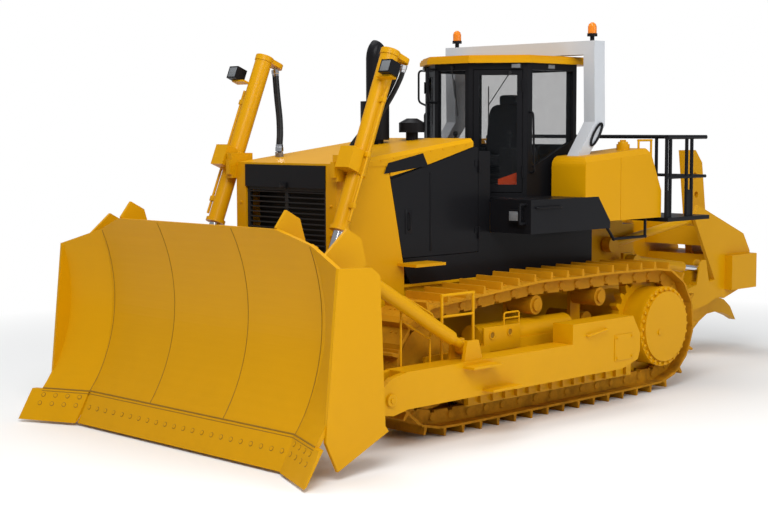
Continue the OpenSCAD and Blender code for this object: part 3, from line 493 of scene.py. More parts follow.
def addCushion(build, size, power, place, count=40, rows=22):  # a crowned, closed pad
    def swell(value):
        return math.copysign(abs(value) ** power, value)
    part = bmesh.new()
    rings = [[part.verts.new((0, 0, -0.5))]]
    for row in range(1, rows):
        tilt = math.pi * (row / rows - 0.5)
        wide, height = 0.5 * swell(math.cos(tilt)), 0.5 * swell(math.sin(tilt))
        rings.append([part.verts.new((wide * swell(c), wide * swell(s), height))
                      for c, s in circle(count)])
    rings.append([part.verts.new((0, 0, 0.5))])
    joinRings(part, rings, count)
    stretch(part, size)
    joinInto(build, part, place)


def makePiece(name, build, material, body, smoothAngle=35):
    bmesh.ops.recalc_face_normals(build, faces=build.faces)
    mesh = bpy.data.meshes.new(name)
    build.to_mesh(mesh)
    build.free()
    mesh.shade_smooth()
    mesh.set_sharp_from_angle(angle=math.radians(smoothAngle))
    mesh.materials.append(material)
    piece = addObject(name, mesh)
    if body:
        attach(piece, body)
    return piece


surfaceTrees = {}


def touch(nodeName, start, direction):  # where a ray meets a CAD node, and the way its face looks
    if nodeName not in surfaceTrees:
        part = nodes[nodeName]
        surfaceTrees[nodeName] = BVHTree.FromPolygons(
            [part.matrix_world @ v.co for v in part.data.vertices],
            [tuple(f.vertices) for f in part.data.polygons])
    spot, normal, _, _ = surfaceTrees[nodeName].ray_cast(Vector(start), Vector(direction))
    if spot is None:
        raise ValueError("no surface of " + nodeName + " at " + str(tuple(start)))
    return spot, normal if normal.dot(Vector(direction)) < 0 else -normal


hoseRoute = {
    "points": ((1.96, 0.56, 2.945), (1.948, 0.572, 3.02), (1.88, 0.64, 3.15), (1.8, 0.74, 3.32),
               (1.73, 0.85, 3.52), (1.68, 0.93, 3.7), (1.662, 0.96, 3.8), (1.655, 0.975, 3.855)),
    "shifts": {"First": (0, 0, 0), "Second": (-0.025, 0.062, 0.0)},
    "radius": 0.026, "steps": 4, "round": 20, "collarSides": 6,
    "collar": ((0, 0), (0.034, 0), (0.034, 0.045), (0.03, 0.048), (0.03, 0.075), (0, 0.075))}


def makeHoses(settings):
    collar, collarSides = settings["collar"], settings["collarSides"]
    for side, sign in sides:
        low, high = bmesh.new(), bmesh.new()
        for label, shift in settings["shifts"].items():
            route = [at(*flipped(Vector(p) + Vector(shift), sign)) for p in settings["points"]]
            path = smoothPath(route, settings["steps"])
            build = bmesh.new()
            addTube(build, path, settings["radius"], settings["round"])
            hose = makePiece("hose" + side.title() + label, build, hoseRubber, None)
            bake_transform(hose)
            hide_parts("hoses_" + side)
            addLathe(low, collar, along(path[0], path[1] - path[0]), collarSides)
            addLathe(high, collar, along(path[-1], path[-2] - path[-1]), collarSides)
        makePiece("hoseEnds" + side.title(), low, polishedRod, "chassis")
        makePiece("hoseTops" + side.title(), high, polishedRod, "lift_tube_" + side)


makeHoses(hoseRoute)
print("hoses made")

boltShape = {"head": 0.8, "headMiddle": 0.4, "crown": 0.2, "crownTop": 0.84, "washer": 0.24,
             "washerMiddle": 0.1, "washerSides": 20}  # shares of the head's height and radius


def buildBoltGroup(shape):
    group, start, end = newGroup("boltHeads", "Geometry", {
        "spots": "Geometry", "radius": "Float", "height": "Float", "sides": "Int",
        "washer": "Float", "finish": "Material", "seed": "Int"}, {"bolts": "Geometry"})
    radius, height = start["radius"], start["height"]

    def times(first, second):
        return mathNode(group, "MULTIPLY", first, second)

    def upright(mesh, share):
        lift = addNode(group, "ShaderNodeCombineXYZ", {"Z": times(height, share)})[0]
        inputs = {"Geometry": mesh, "Translation": lift}
        return addNode(group, "GeometryNodeTransform", inputs)["Geometry"]

    head = addNode(group, "GeometryNodeMeshCylinder", {
        "Vertices": start["sides"], "Radius": radius, "Depth": times(height, shape["head"])})
    crown = addNode(group, "GeometryNodeMeshCone", {
        "Vertices": start["sides"], "Radius Bottom": radius,
        "Radius Top": times(radius, shape["crownTop"]), "Depth": times(height, shape["crown"])})
    washer = addNode(group, "GeometryNodeMeshCylinder", {
        "Vertices": shape["washerSides"], "Radius": times(radius, start["washer"]),
        "Depth": times(height, shape["washer"])})
    bolt = group.nodes.new("GeometryNodeJoinGeometry")
    for piece, share in ((head, "headMiddle"), (washer, "washerMiddle"), (crown, "head")):
        group.links.new(upright(piece["Mesh"], shape[share]), bolt.inputs[0])
    points = addNode(group, "GeometryNodeMeshToPoints", {"Mesh": start["spots"]})["Points"]
    facing = addNode(group, "GeometryNodeInputNamedAttribute", {"Name": "facing"},
                     data_type="FLOAT_VECTOR")["Attribute"]
    aligned = addNode(group, "FunctionNodeAlignRotationToVector", {"Vector": facing}, axis="Z")
    turn = addNode(group, "FunctionNodeRandomValue", {3: fullTurn, "Seed": start["seed"]})[1]
    spin = addNode(group, "FunctionNodeAxisAngleToRotation", {"Angle": turn})["Rotation"]
    turned = addNode(group, "FunctionNodeRotateRotation", {
        "Rotation": aligned["Rotation"], "Rotate By": spin}, rotation_space="LOCAL")
    placed = addNode(group, "GeometryNodeInstanceOnPoints", {
        "Points": points, "Instance": bolt.outputs[0], "Rotation": turned["Rotation"]})
    whole = addNode(group, "GeometryNodeRealizeInstances", {"Geometry": placed["Instances"]})
    finished = addNode(group, "GeometryNodeSetMaterial", {
        "Geometry": whole["Geometry"], "Material": start["finish"]})
    group.links.new(finished["Geometry"], end["bolts"])
    return group


boltHeads = buildBoltGroup(boltShape)


def makeBolts(name, spots, settings, material, body):  # spots are (place, facing) pairs
    mesh = bpy.data.meshes.new(name + "Spots")
    mesh.from_pydata([spot for spot, _ in spots], [], [])
    facing = mesh.attributes.new("facing", "FLOAT_VECTOR", "POINT")
    for item, (_, normal) in zip(facing.data, spots):
        item.vector = normal
    carrier = addObject(name + "Spots", mesh)
    modifier = carrier.modifiers.new("bolts", "NODES")
    modifier.node_group = boltHeads
    values = {**settings, "finish": material}
    for socket in boltHeads.interface.items_tree:
        if socket.in_out == "INPUT" and socket.name in values:
            modifier[socket.identifier] = values[socket.name]
    bpy.context.view_layer.update()
    graph = bpy.context.evaluated_depsgraph_get()
    bolts = bpy.data.meshes.new_from_object(carrier.evaluated_get(graph))
    bpy.data.objects.remove(carrier)
    bolts.name = name
    piece = addObject(name, bolts)
    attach(piece, body)
    return piece


# the dark rings under the edge bolts are painted shade, standing for the shaded rims of sunk heads
edgeShadeRings = {"radius": 0.026, "height": 0.003, "sides": 20, "washer": 1.0, "seed": 4}
edgeBolts = {
    "radius": 0.02, "height": 0.007, "sides": 20, "washer": 1.0, "seed": 3, "centreCount": 22,
    "centreReach": 1.58, "centreRow": 0.54, "endFirst": 1.76, "endStep": 0.14, "endCount": 4,
    "rows": (0.55, 0.82)}


def makeEdgeBolts():
    low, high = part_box("cutting_edges")

    def onEdge(y, share):
        spot = (high.x + rayRoom, y, low.z + share * (high.z - low.z))
        return touch("cutting_edges", spot, (-1, 0, 0))

    reach, count = edgeBolts["centreReach"], edgeBolts["centreCount"]
    places = [-reach + 2 * reach * i / (count - 1) for i in range(count)]
    spots = [onEdge(y, edgeBolts["centreRow"]) for y in places]
    for share in edgeBolts["rows"]:
        for i in range(edgeBolts["endCount"]):
            y = edgeBolts["endFirst"] + i * edgeBolts["endStep"]
            spots += [onEdge(y, share), onEdge(-y, share)]
    makeBolts("edgeShadeRings", spots, edgeShadeRings, seamAndShadePaint, "blade")  # dark rings painted as the shade in the rims of sunk heads
    makeBolts("edgeBolts", spots, edgeBolts, yellowPaint, "blade")


hubBolts = {
    "radius": 0.022, "height": 0.024, "sides": 6, "washer": 1.3, "seed": 5, "count": 28,
    "ring": 0.455}


def makeHubBolts():
    middleX, middleZ = rowShift + axleX, (sprocketLow.z + sprocketHigh.z) / 2
    spots = []
    for _, sign in sides:
        for c, s in circle(hubBolts["count"]):
            x, z = middleX + c * hubBolts["ring"], middleZ + s * hubBolts["ring"]
            start = (x, sign * (sprocketHigh.y + rayRoom), z)
            spots.append(touch("sprockets", start, (0, -sign, 0)))
    makeBolts("hubBolts", spots, hubBolts, yellowPaint, "chassis")


armCover = {
    "outline": ((-1.2, 0.56), (-0.85, 0.56), (-0.85, 0.86), (-1.2, 0.86)), "face": 1.93,
    "thick": 0.01, "bevel": 0.003}
coverBolts = {
    "radius": 0.014, "height": 0.014, "sides": 6, "washer": 1.4, "seed": 7, "inset": 0.035}


def makeArmCover(side, sign):
    build, spots = bmesh.new(), []
    outline, face, thick = armCover["outline"], armCover["face"], armCover["thick"]
    corners = [at(x, sign * face, z) for x, z in outline]
    addPlate(build, corners, (0, sign * thick, 0), armCover["bevel"])
    makePiece("armCover" + side.title(), build, yellowPaint, "push_arms")
    middleX = sum(x for x, _ in outline) / len(outline)
    middleZ = sum(z for _, z in outline) / len(outline)
    inset = coverBolts["inset"]
    for x, z in outline:
        boltX, boltZ = x + math.copysign(inset, middleX - x), z + math.copysign(inset, middleZ - z)
        spots.append((at(boltX, sign * (face + thick), boltZ), Vector((0, sign, 0))))
    makeBolts("coverBolts" + side.title(), spots, coverBolts, yellowPaint, "push_arms")


trackPins = {
    "radius": 0.04, "height": 0.014, "sides": 20, "washer": 1.3, "seed": 13,
    "faces": ((1.415, 1), (1.085, -1)), "slack": 0.002, "pair": (0.015, 0.034), "drop": 0.008,
    "digits": 4}
shoeBolts = {
    "radius": 0.014, "height": 0.014, "sides": 6, "washer": 1.2, "seed": 15,
    "across": (0.095, 0.165), "runs": (0.5, 0.82), "top": 0.1}


def trackJoints(side):  # chain joints lie midway between the corners of each notch in the rail
    face, digits = trackPins["faces"][0][0], trackPins["digits"]
    part = nodes["track_" + side]
    places = {}
    for vert in part.data.vertices:
        spot = part.matrix_world @ vert.co
        if abs(abs(spot.y) - face) < trackPins["slack"]:
            places[(round(spot.x, digits), round(spot.z, digits))] = Vector((spot.x, 0, spot.z))
    corners = list(places.values())
    nearest, widest = trackPins["pair"]
    joints = []
    for k, corner in enumerate(corners):
        for other in corners[k + 1:]:
            if nearest < (corner - other).length < widest:
                joints.append((corner + other) / 2)
    middle = sum(joints, Vector()) / len(joints)
    joints.sort(key=lambda p: math.atan2(p.z - middle.z, p.x - middle.x))
    links = []
    for before, here, after in zip(joints[-1:] + joints[:-1], joints, joints[1:] + joints[:1]):
        outward = Vector((after.z - before.z, 0, before.x - after.x)).normalized()
        if outward.dot(here - middle) < 0:
            outward = -outward
        links.append((here + outward * trackPins["drop"], outward))
    return links


def makeTrackBolts(side, sign):
    links, faces = trackJoints(side), trackPins["faces"]
    spots = [(Vector((spot.x, sign * face, spot.z)), Vector((0, sign * way, 0)))
             for spot, _ in links for face, way in faces]
    makeBolts("trackPins" + side.title(), spots, trackPins, trackPaint, "chassis")
    middle = sum(face for face, _ in faces) / len(faces)
    spots = []
    for (spot, outward), (ahead, aheadOutward) in zip(links, links[1:] + links[:1]):
        lift = (outward + aheadOutward).normalized()
        for run in shoeBolts["runs"]:
            place = spot.lerp(ahead, run) + lift * shoeBolts["top"]
            for across in shoeBolts["across"]:
                for way in (-1, 1):
                    y = sign * (middle + way * across)
                    spots.append((Vector((place.x, y, place.z)), lift))
    makeBolts("shoeBolts" + side.title(), spots, shoeBolts, trackPaint, "chassis")
    print("track", side, len(links), "links")


guardBolts = {
    "radius": 0.014, "height": 0.014, "sides": 6, "washer": 1.5, "seed": 9, "across": 0.72,
    "first": 1.5, "step": 0.3, "count": 4}
hoodRivets = {
    "radius": 0.011, "height": 0.006, "sides": 12, "washer": 1.1, "seed": 11, "first": 0.42,
    "step": 0.19, "count": 10, "below": 0.05, "inside": 0.75, "above": 4.0, "beside": 1.6}


def makeFrontBolts():
    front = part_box("radiator_guard")[1].x + rayRoom
    spots = []
    for _, sign in sides:
        for i in range(guardBolts["count"]):
            z = guardBolts["first"] + i * guardBolts["step"]
            start = (front, sign * guardBolts["across"], z)
            spots.append(touch("radiator_guard", start, (-1, 0, 0)))
    makeBolts("guardBolts", spots, guardBolts, yellowPaint, "chassis")
    spots = []
    for _, sign in sides:
        for i in range(hoodRivets["count"]):
            x = hoodRivets["first"] + i * hoodRivets["step"]
            start = at(x, sign * hoodRivets["inside"], hoodRivets["above"])
            top = touch("engine_hood", start, (0, 0, -1))[0]
            start = (top.x, sign * hoodRivets["beside"], top.z - hoodRivets["below"])
            spots.append(touch("engine_hood", start, (0, -sign, 0)))
    makeBolts("hoodRivets", spots, hoodRivets, yellowPaint, "chassis")


makeEdgeBolts()
makeHubBolts()
for sideName, sideSign in sides:
    makeArmCover(sideName, sideSign)
    makeTrackBolts(sideName, sideSign)
makeFrontBolts()
print("bolts made")

# the vertical weld seams are real dark joints; the lines along the top of the cutting edge are
# painted shade of the step there
bladeSeamsAndShade = {
    "tops": {-1.68: 2.1, -0.6: 2.23, 0.6: 2.23, 1.68: 2.1}, "low": 0.36, "steps": 36,
    "radius": 0.005, "round": 8, "edgeReach": 2.22, "edgeSteps": 70,
    "edgeShadeLines": (("blade", 0.357, 0.008), ("cutting_edges", 0.33, 0.004))}


def makeSeamsAndShade(settings):
    build = bmesh.new()
    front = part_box("blade")[1].x + rayRoom

    def onFace(nodeName, y, z):
        return touch(nodeName, (front, y, z), (-1, 0, 0))[0]

    low, steps = settings["low"], settings["steps"]
    for y, top in settings["tops"].items():
        path = [onFace("blade", y, low + (top - low) * k / steps) for k in range(steps + 1)]
        addTube(build, path, settings["radius"], settings["round"])
    reach, steps = settings["edgeReach"], settings["edgeSteps"]
    for nodeName, z, radius in settings["edgeShadeLines"]:  # dark lines along the joint at the top of the cutting edge, painted as the shade of its step
        path = [onFace(nodeName, reach * (2 * k / steps - 1), z) for k in range(steps + 1)]
        addTube(build, path, radius, settings["round"])
    makePiece("bladeSeamsAndShade", build, seamAndShadePaint, "blade")


makeSeamsAndShade(bladeSeamsAndShade)

signPlate = {
    "outline": ((1.65, 2.833), (1.114, 2.931), (1.036, 2.79), (1.71, 2.719)), "face": 0.8103,
    "thick": 0.004, "bevel": 0.002}
doorTrim = {
    "face": 0.7972, "proud": 0.007, "split": 0.98, "low": 1.86, "high": 2.72, "half": 0.012,
    "splitBevel": 0.002, "latch": (1.33, 2.2), "latchSize": (0.05, 0.13), "latchBevel": 0.003}
doorGrip = {
    "run": ((1.33, 0.7972, 2.11), (1.33, 0.8272, 2.11), (1.33, 0.8272, 2.29),
        (1.33, 0.7972, 2.29)), "radius": 0.008, "bend": 0.02}
noseLatch = {"low": (2.403, -0.05, 2.57), "high": (2.425, 0.05, 2.63), "bevel": 0.005}
hoodSeal = {
    "outline": ((1.58, 2.6), (1.0, 2.745), (0.34, 2.92), (0.34, 3.01), (1.0, 2.87), (1.58, 2.76)),
    "face": 0.742, "thick": 0.02, "bevel": 0.003}


def addSidePlates(build, plate):
    for _, sign in sides:
        corners = [at(x, sign * plate["face"], z) for x, z in plate["outline"]]
        addPlate(build, corners, (0, sign * plate["thick"], 0), plate["bevel"])


def makeDoorTrim(side, sign):
    build = bmesh.new()
    face, half = doorTrim["face"], doorTrim["half"]
    outer, x = face + doorTrim["proud"], doorTrim["split"]
    addSideBlock(build, at(x - half, face, doorTrim["low"]), at(x + half, outer, doorTrim["high"]),
                 sign, doorTrim["splitBevel"])
    (x, z), (wide, tall) = doorTrim["latch"], doorTrim["latchSize"]
    addSideBlock(build, at(x - wide, face, z - tall), at(x + wide, outer, z + tall), sign,
                 doorTrim["latchBevel"])
    addBar(build, doorGrip, sign)
    makePiece("doorTrim" + side.title(), build, blackPaint, "engine_door_" + side)


def makeHoodTrim():
    build = bmesh.new()
    addSidePlates(build, signPlate)
    makePiece("sideSigns", build, blackPaint, "chassis")
    for side, sign in sides:
        makeDoorTrim(side, sign)
    build = bmesh.new()
    addBlock(build, at(*noseLatch["low"]), at(*noseLatch["high"]), noseLatch["bevel"])
    makePiece("noseLatch", build, blackPaint, "chassis")
    build = bmesh.new()
    addSidePlates(build, hoodSeal)  # closes the slit between hood and side door
    makePiece("hoodSeals", build, mattBlack, "chassis")


makeHoodTrim()
print("blade seams and hood trim made")

liftFrame = {"top": (2.27, 1.0, 2.83), "seat": (-0.075, 0.2, -0.925), "eye": 0.095}
liftLens = {"low": (-0.139, -0.046, -0.126), "high": (-0.1324, 0.076, -0.014), "bevel": 0.002}
liftPipe = {
    "x": -0.03, "y": 0.135, "low": 0.62, "high": -0.84, "radius": 0.015,
    "clamps": (0.45, -0.1, -0.7), "clampLow": (-0.022, 0.085, -0.03),
    "clampHigh": (0.022, 0.155, 0.03), "clampBevel": 0.005}
fenderLens = {
    "spot": (0.0703, 1.21, 2.22), "wide": 0.062, "tall": 0.052, "deep": 0.008, "bevel": 0.003}
roofLamps = {
    "spots": ((-0.52, 0.735, 35), (-1.05, 0.83, 80)), "low": 3.882, "high": 3.946, "wide": 0.06,
    "deep": 0.07, "bevel": 0.008, "lensBack": 0.0004, "lensFront": 0.006, "lensRim": 0.01,
    "lensBevel": 0.002}


def liftPlace(side, sign):  # the rod's eye is on the tube's axis, so the two give the lean
    rodLow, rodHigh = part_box("lift_rod_" + side)
    eye = Vector((rodHigh.x - liftFrame["eye"], 0, rodLow.z + liftFrame["eye"]))
    top = at(*flipped(liftFrame["top"], sign))
    lean = math.atan2(eye.x - top.x, top.z - eye.z)
    return Matrix.Translation(top) @ Matrix.Rotation(math.pi - lean, 4, "Y")


def makeLiftFittings(side, sign):
    place, seat = liftPlace(side, sign), Vector(liftFrame["seat"])
    build = bmesh.new()
    addSideBlock(build, seat + Vector(liftLens["low"]), seat + Vector(liftLens["high"]), sign,
                 liftLens["bevel"], place)
    makePiece("liftLens" + side.title(), build, lampLens, "lift_tube_" + side)
    build = bmesh.new()
    line = [place @ Vector((liftPipe["x"], sign * liftPipe["y"], liftPipe[end]))
            for end in ("low", "high")]
    addTube(build, line, liftPipe["radius"])
    for z in liftPipe["clamps"]:
        middle = Vector((liftPipe["x"], 0, z))
        addSideBlock(build, middle + Vector(liftPipe["clampLow"]),
                     middle + Vector(liftPipe["clampHigh"]), sign, liftPipe["clampBevel"], place)
    makePiece("liftPipe" + side.title(), build, yellowPaint, "lift_tube_" + side)


def makeLamps():
    for side, sign in sides:
        makeLiftFittings(side, sign)
    build, lenses = bmesh.new(), bmesh.new()
    x, y, z = fenderLens["spot"]
    half = Vector((0, fenderLens["wide"], fenderLens["tall"]))
    wide, low, high = roofLamps["wide"], roofLamps["low"], roofLamps["high"]
    rim = roofLamps["lensRim"]
    for _, sign in sides:
        front = at(x + fenderLens["deep"], sign * y, z)
        addBlock(lenses, at(x, sign * y, z) - half, front + half, fenderLens["bevel"])
        for lampX, lampY, turn in roofLamps["spots"]:
            turned = Matrix.Rotation(math.radians(sign * turn), 4, "Z")
            place = Matrix.Translation(at(lampX, sign * lampY, 0)) @ turned
            addBlock(build, (-roofLamps["deep"], -wide, low), (0, wide, high), roofLamps["bevel"],
                     place)
            addBlock(lenses, (roofLamps["lensBack"], rim - wide, low + rim),
                     (roofLamps["lensFront"], wide - rim, high - rim), roofLamps["lensBevel"],
                     place)
    makePiece("roofLamps", build, mattBlack, "chassis")
    makePiece("lampGlasses", lenses, lampLens, "chassis")


makeLamps()
print("lamps made")

seatPads = {
    "seatCushion": {"spot": (-0.985, 0.0, 2.798), "size": (0.54, 0.54, 0.15), "lean": 0.0},
    "seatBack": {"spot": (-1.2, 0.0, 3.175), "size": (0.13, 0.53, 0.62), "lean": 7.4},
    "headRest": {"spot": (-1.27, 0.0, 3.535), "size": (0.1, 0.27, 0.13), "lean": 0.0}}
padShape = {"power": 0.42, "smoothAngle": 60}
seatFoot = {
    "low": (-1.15, -0.2, 2.4), "high": (-0.85, 0.2, 2.72), "folds": 5, "inset": 0.015,
    "bevel": 0.012}
cabPanel = {
    "corners": ((-0.66, 0.68, 2.42), (-0.5, 0.483, 2.42), (-0.5, 0.483, 2.6), (-0.66, 0.68, 2.69)),
    "depth": (-0.032, -0.024, 0.0), "bevel": 0.006}
cabControls = {
    "leverTop": (-0.76, 0.43, 3.13), "round": 20, "dashLow": (-0.42, -0.18, 2.42),
    "dashHigh": (-0.3, 0.18, 3.02), "dashBevel": 0.03,
    "knob": ((0, -0.032), (0.0224, -0.0256), (0.032, 0), (0.0256, 0.0224), (0, 0.032))}


def makeSeat():
    pieces = []
    for name, pad in seatPads.items():
        build = bmesh.new()
        lean = Matrix.Rotation(math.radians(-pad["lean"]), 4, "Y")
        place = Matrix.Translation(at(*pad["spot"])) @ lean
        addCushion(build, pad["size"], padShape["power"], place)
        piece = makePiece(name, build, seatFabric, "chassis",
                          padShape["smoothAngle"])
        pieces.append(piece)
    build = bmesh.new()
    low, high = at(*seatFoot["low"]), at(*seatFoot["high"])
    step = (high.z - low.z) / seatFoot["folds"]
    for i in range(seatFoot["folds"]):
        inset = 0.0 if i % 2 else seatFoot["inset"]
        addBlock(build, (low.x + inset, low.y + inset, low.z + i * step),
                 (high.x - inset, high.y - inset, low.z + (i + 1) * step), seatFoot["bevel"])
    pieces.append(makePiece("seatPedestal", build, mattBlack, "chassis"))
    for piece in pieces:
        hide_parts("seat")


def makeCabTrim():
    build = bmesh.new()
    corners = [at(*corner) for corner in cabPanel["corners"]]
    addPlate(build, corners, cabPanel["depth"], cabPanel["bevel"])
    makePiece("orangePanel", build, orangePaint, "chassis")
    build = bmesh.new()
    for _, sign in sides:
        place = Matrix.Translation(at(*flipped(cabControls["leverTop"], sign)))
        addLathe(build, cabControls["knob"], place, cabControls["round"])
    addBlock(build, at(*cabControls["dashLow"]), at(*cabControls["dashHigh"]),
             cabControls["dashBevel"])
    makePiece("cabControls", build, mattBlack, "chassis")


doorPlane = {"post": (-0.63, 0.815), "run": (0.41, -0.545)}
# each strip of the seal is two runs, then two heights
doorSeal = {
    "out": -0.0554, "thick": 0.012, "bevel": 0.003,
    "strips": ((0.03, 0.08, 2.42, 3.905), (0.602, 0.652, 2.42, 3.905),
        (0.08, 0.602, 3.85, 3.905), (0.08, 0.602, 2.42, 2.47))}
wiper = {
    "cap": ((0, 0), (0.02, 0), (0.02, 0.0182), (0.014, 0.026), (0, 0.026)), "capRound": 20,
    "arm": 0.006, "armRound": 10, "rubber": 0.007, "rubberRound": 8}
doorWiper = {
    "pivot": (0.2, 3.84), "middle": (0.45, 3.46), "blade": (3.68, 3.24), "capOut": 0.0002,
    "armOut": (0.022, 0.006), "bladeOut": -0.0105}
frontWiper = {
    "pivot": (0.02, 3.908), "middle": (0.06, 3.55), "blade": ((0.035, 3.76), (0.085, 3.34)),
    "capX": -0.2198, "armX": (-0.2, -0.218), "bladeX": -0.2345}


def onDoor(run, out, z, sign):  # a place on the slanted door, from its hinge post
    way = Vector(doorPlane["run"]).normalized()
    spot = Vector(doorPlane["post"]) + way * run + Vector((-way.y, way.x)) * out
    return at(spot.x, sign * spot.y, z)


def addWiper(build, pivot, facing, arm, blade):
    addLathe(build, wiper["cap"], along(pivot, facing), wiper["capRound"])
    addTube(build, arm, wiper["arm"], wiper["armRound"])
    addTube(build, [arm[-1], (blade[0] + blade[1]) / 2], wiper["arm"], wiper["armRound"])
    addTube(build, blade, wiper["rubber"], wiper["rubberRound"])


def makeDoorGear():
    build = bmesh.new()
    for _, sign in sides:
        inward = onDoor(0, -doorSeal["thick"], 0, sign) - onDoor(0, 0, 0, sign)
        for first, last, low, high in doorSeal["strips"]:
            outline = ((first, low), (last, low), (last, high), (first, high))
            corners = [onDoor(run, doorSeal["out"], z, sign) for run, z in outline]
            addPlate(build, corners, inward, doorSeal["bevel"])
    makePiece("doorSeals", build, mattBlack, "chassis")
    for side, sign in sides:
        build = bmesh.new()
        (run, z), (endRun, endZ) = doorWiper["pivot"], doorWiper["middle"]
        startOut, endOut = doorWiper["armOut"]
        facing = onDoor(0, 1, 0, sign) - onDoor(0, 0, 0, sign)
        arm = [onDoor(run, startOut, z, sign), onDoor(endRun, endOut, endZ, sign)]
        out = doorWiper["bladeOut"]
        blade = [onDoor(endRun, out, height, sign) for height in doorWiper["blade"]]
        addWiper(build, onDoor(run, doorWiper["capOut"], z, sign), facing, arm, blade)
        makePiece("doorWiper" + side.title(), build, mattBlack, "cab_door_" + side)
    build = bmesh.new()
    startX, endX = frontWiper["armX"]
    arm = [at(startX, *frontWiper["pivot"]), at(endX, *frontWiper["middle"])]
    blade = [at(frontWiper["bladeX"], *end) for end in frontWiper["blade"]]
    addWiper(build, at(frontWiper["capX"], *frontWiper["pivot"]), (1, 0, 0), arm, blade)
    makePiece("frontWiper", build, mattBlack, "chassis")


makeSeat()
makeCabTrim()
makeDoorGear()
print("cab made")

strutGuard = {
    "loop": ((2.311, 1.543), (1.854, 1.308), (1.907, 1.065), (2.328, 1.302)), "y": 1.662,
    "foot": 0.828, "radius": 0.012, "bend": 0.05}
armHandle = {
    "run": ((-0.33, 1.93, 0.905), (-0.33, 1.972, 0.905), (-0.67, 1.972, 0.95),
        (-0.67, 1.93, 0.95)), "radius": 0.011, "bend": 0.03}
pinCap = {
    "spot": (2.74, 1.9452, 0.58), "round": 32,
    "profile": ((0, 0), (0.062, 0), (0.062, 0.0072), (0.0558, 0.012), (0.0279, 0.012),
        (0.0248, 0.0216), (0, 0.0216))}
recoilPlate = {
    "low": (0.29, 1.4704, 0.8), "high": (0.89, 1.5, 1.07), "bevel": 0.006,
    "holes": ((0.763, 0.979), (0.47, 0.989)), "round": 24,
    "rim": ((0.034, 0), (0.046, 0), (0.046, 0.01), (0.034, 0.01), (0.034, 0)),
    # floor: a dark disc painted as the shade inside each hole
    "floor": ((0, 0.0005), (0.0335, 0.0005), (0.0335, 0.002), (0, 0.002))}
recoilStep = {
    "loop": ((0.3, 1.07), (0.3, 1.2), (0.55, 1.2), (0.55, 1.07)), "rung": 1.14, "radius": 0.011,
    "bend": 0.03, "rungRadius": 0.009}


def makeArmFittings(side, sign):
    build = bmesh.new()
    guard = [at(x, sign * strutGuard["y"], z) for x, z in strutGuard["loop"]]
    middle = (guard[0] + guard[3]) / 2
    addTube(build, roundedPath([middle, *guard, middle], strutGuard["bend"]), strutGuard["radius"])
    for corner in guard[2:]:
        foot = Vector((corner.x, corner.y, strutGuard["foot"]))
        addTube(build, [foot, corner], strutGuard["radius"])
    addBar(build, armHandle, sign)
    place = along(at(*flipped(pinCap["spot"], sign)), (0, sign, 0))
    addLathe(build, pinCap["profile"], place, pinCap["round"])
    makePiece("armFittings" + side.title(), build, yellowPaint, "push_arms")


def makeRecoilPlates():
    build, dark = bmesh.new(), bmesh.new()
    low, high, loop = recoilPlate["low"], recoilPlate["high"], recoilStep["loop"]
    for _, sign in sides:
        addSideBlock(build, at(*low), at(*high), sign, recoilPlate["bevel"])
        for x, z in recoilPlate["holes"]:
            place = along(at(x, sign * high[1], z), (0, sign, 0))
            addLathe(build, recoilPlate["rim"], place, recoilPlate["round"])
            # a dark disc on the plate, painted as the shade inside the hole
            addLathe(dark, recoilPlate["floor"], place, recoilPlate["round"])
        y = sign * (low[1] + high[1]) / 2
        addTube(build, roundedPath([at(x, y, z) for x, z in loop], recoilStep["bend"]),
                recoilStep["radius"])
        rung = [at(x, y, recoilStep["rung"]) for x, _ in (loop[0], loop[3])]
        addTube(build, rung, recoilStep["rungRadius"])
    makePiece("recoilPlates", build, yellowPaint, "chassis")
    makePiece("recoilHoleShade", dark, seamAndShadePaint, "chassis")


for sideName, sideSign in sides:
    makeArmFittings(sideName, sideSign)
makeRecoilPlates()
print("arm fittings made")

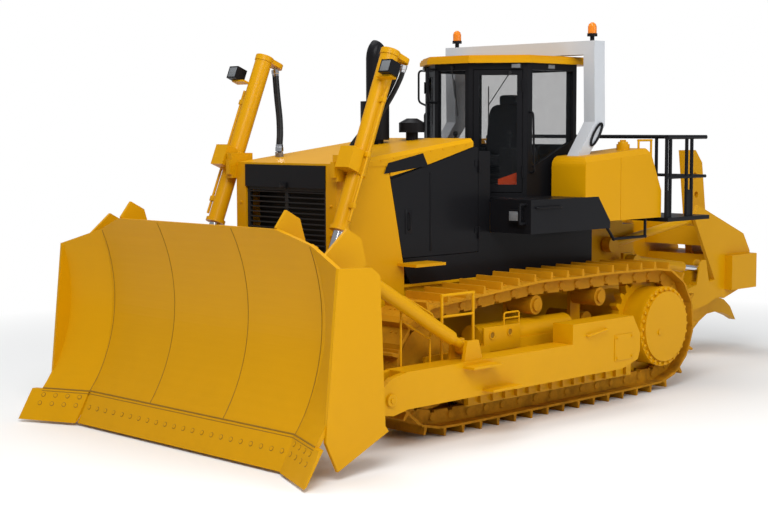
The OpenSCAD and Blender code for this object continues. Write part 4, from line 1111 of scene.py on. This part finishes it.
tankCap = {
    "spot": (-2.037, 1.15, 3.0002), "round": 28, "gripLow": (-0.05, -0.012, 0.028),
    "gripHigh": (0.05, 0.012, 0.052), "gripBevel": 0.005,
    "profile": ((0, 0), (0.062, 0), (0.062, 0.021), (0.0558, 0.03), (0, 0.03))}
fenderBar = {
    "run": ((-0.09, 1.4, 2.31), (-0.09, 1.43, 2.31), (-0.51, 1.43, 2.31), (-0.51, 1.4, 2.31)),
    "radius": 0.012, "bend": 0.025}
postHandle = {
    "centre": (-1.44, 1.1902, 3.12), "wide": 0.05, "tall": 0.16, "lean": 39.0, "radius": 0.014,
    "steps": 36}
cabBar = {
    "run": ((-0.675, 0.8152, 3.38), (-0.675, 0.868, 3.38), (-0.7, 0.868, 2.68),
        (-0.7, 0.8152, 2.68)), "radius": 0.013, "bend": 0.04}
mirrorBar = {
    "run": ((-0.695, -0.8152, 3.905), (-0.695, -0.99, 3.905), (-0.695, -0.99, 3.52),
        (-0.695, -0.8152, 3.46)), "radius": 0.013, "bend": 0.05}


def addPostHandle(build, sign):
    x, y, z = postHandle["centre"]
    lean, path = math.radians(postHandle["lean"]), []
    for k in range(postHandle["steps"] + 1):
        turn = fullTurn * k / postHandle["steps"]
        across, up = postHandle["wide"] * math.cos(turn), postHandle["tall"] * math.sin(turn)
        path.append(at(x + across * math.cos(lean) - up * math.sin(lean),
                       sign * (y + postHandle["radius"]),
                       z + across * math.sin(lean) + up * math.cos(lean)))
    addTube(build, path, postHandle["radius"])


def makeSmallFittings():
    caps, bars = bmesh.new(), bmesh.new()
    for _, sign in sides:
        spot = at(*flipped(tankCap["spot"], sign))
        addLathe(caps, tankCap["profile"], Matrix.Translation(spot), tankCap["round"])
        addBlock(caps, spot + Vector(tankCap["gripLow"]), spot + Vector(tankCap["gripHigh"]),
                 tankCap["gripBevel"])
        addBar(bars, fenderBar, sign)
        addPostHandle(bars, sign)
        addBar(bars, cabBar, sign)
    addBar(bars, mirrorBar)
    makePiece("tankCaps", caps, yellowPaint, "chassis")
    makePiece("handBars", bars, blackPaint, "chassis")


makeSmallFittings()
print("small fittings made")

print("scene ready")
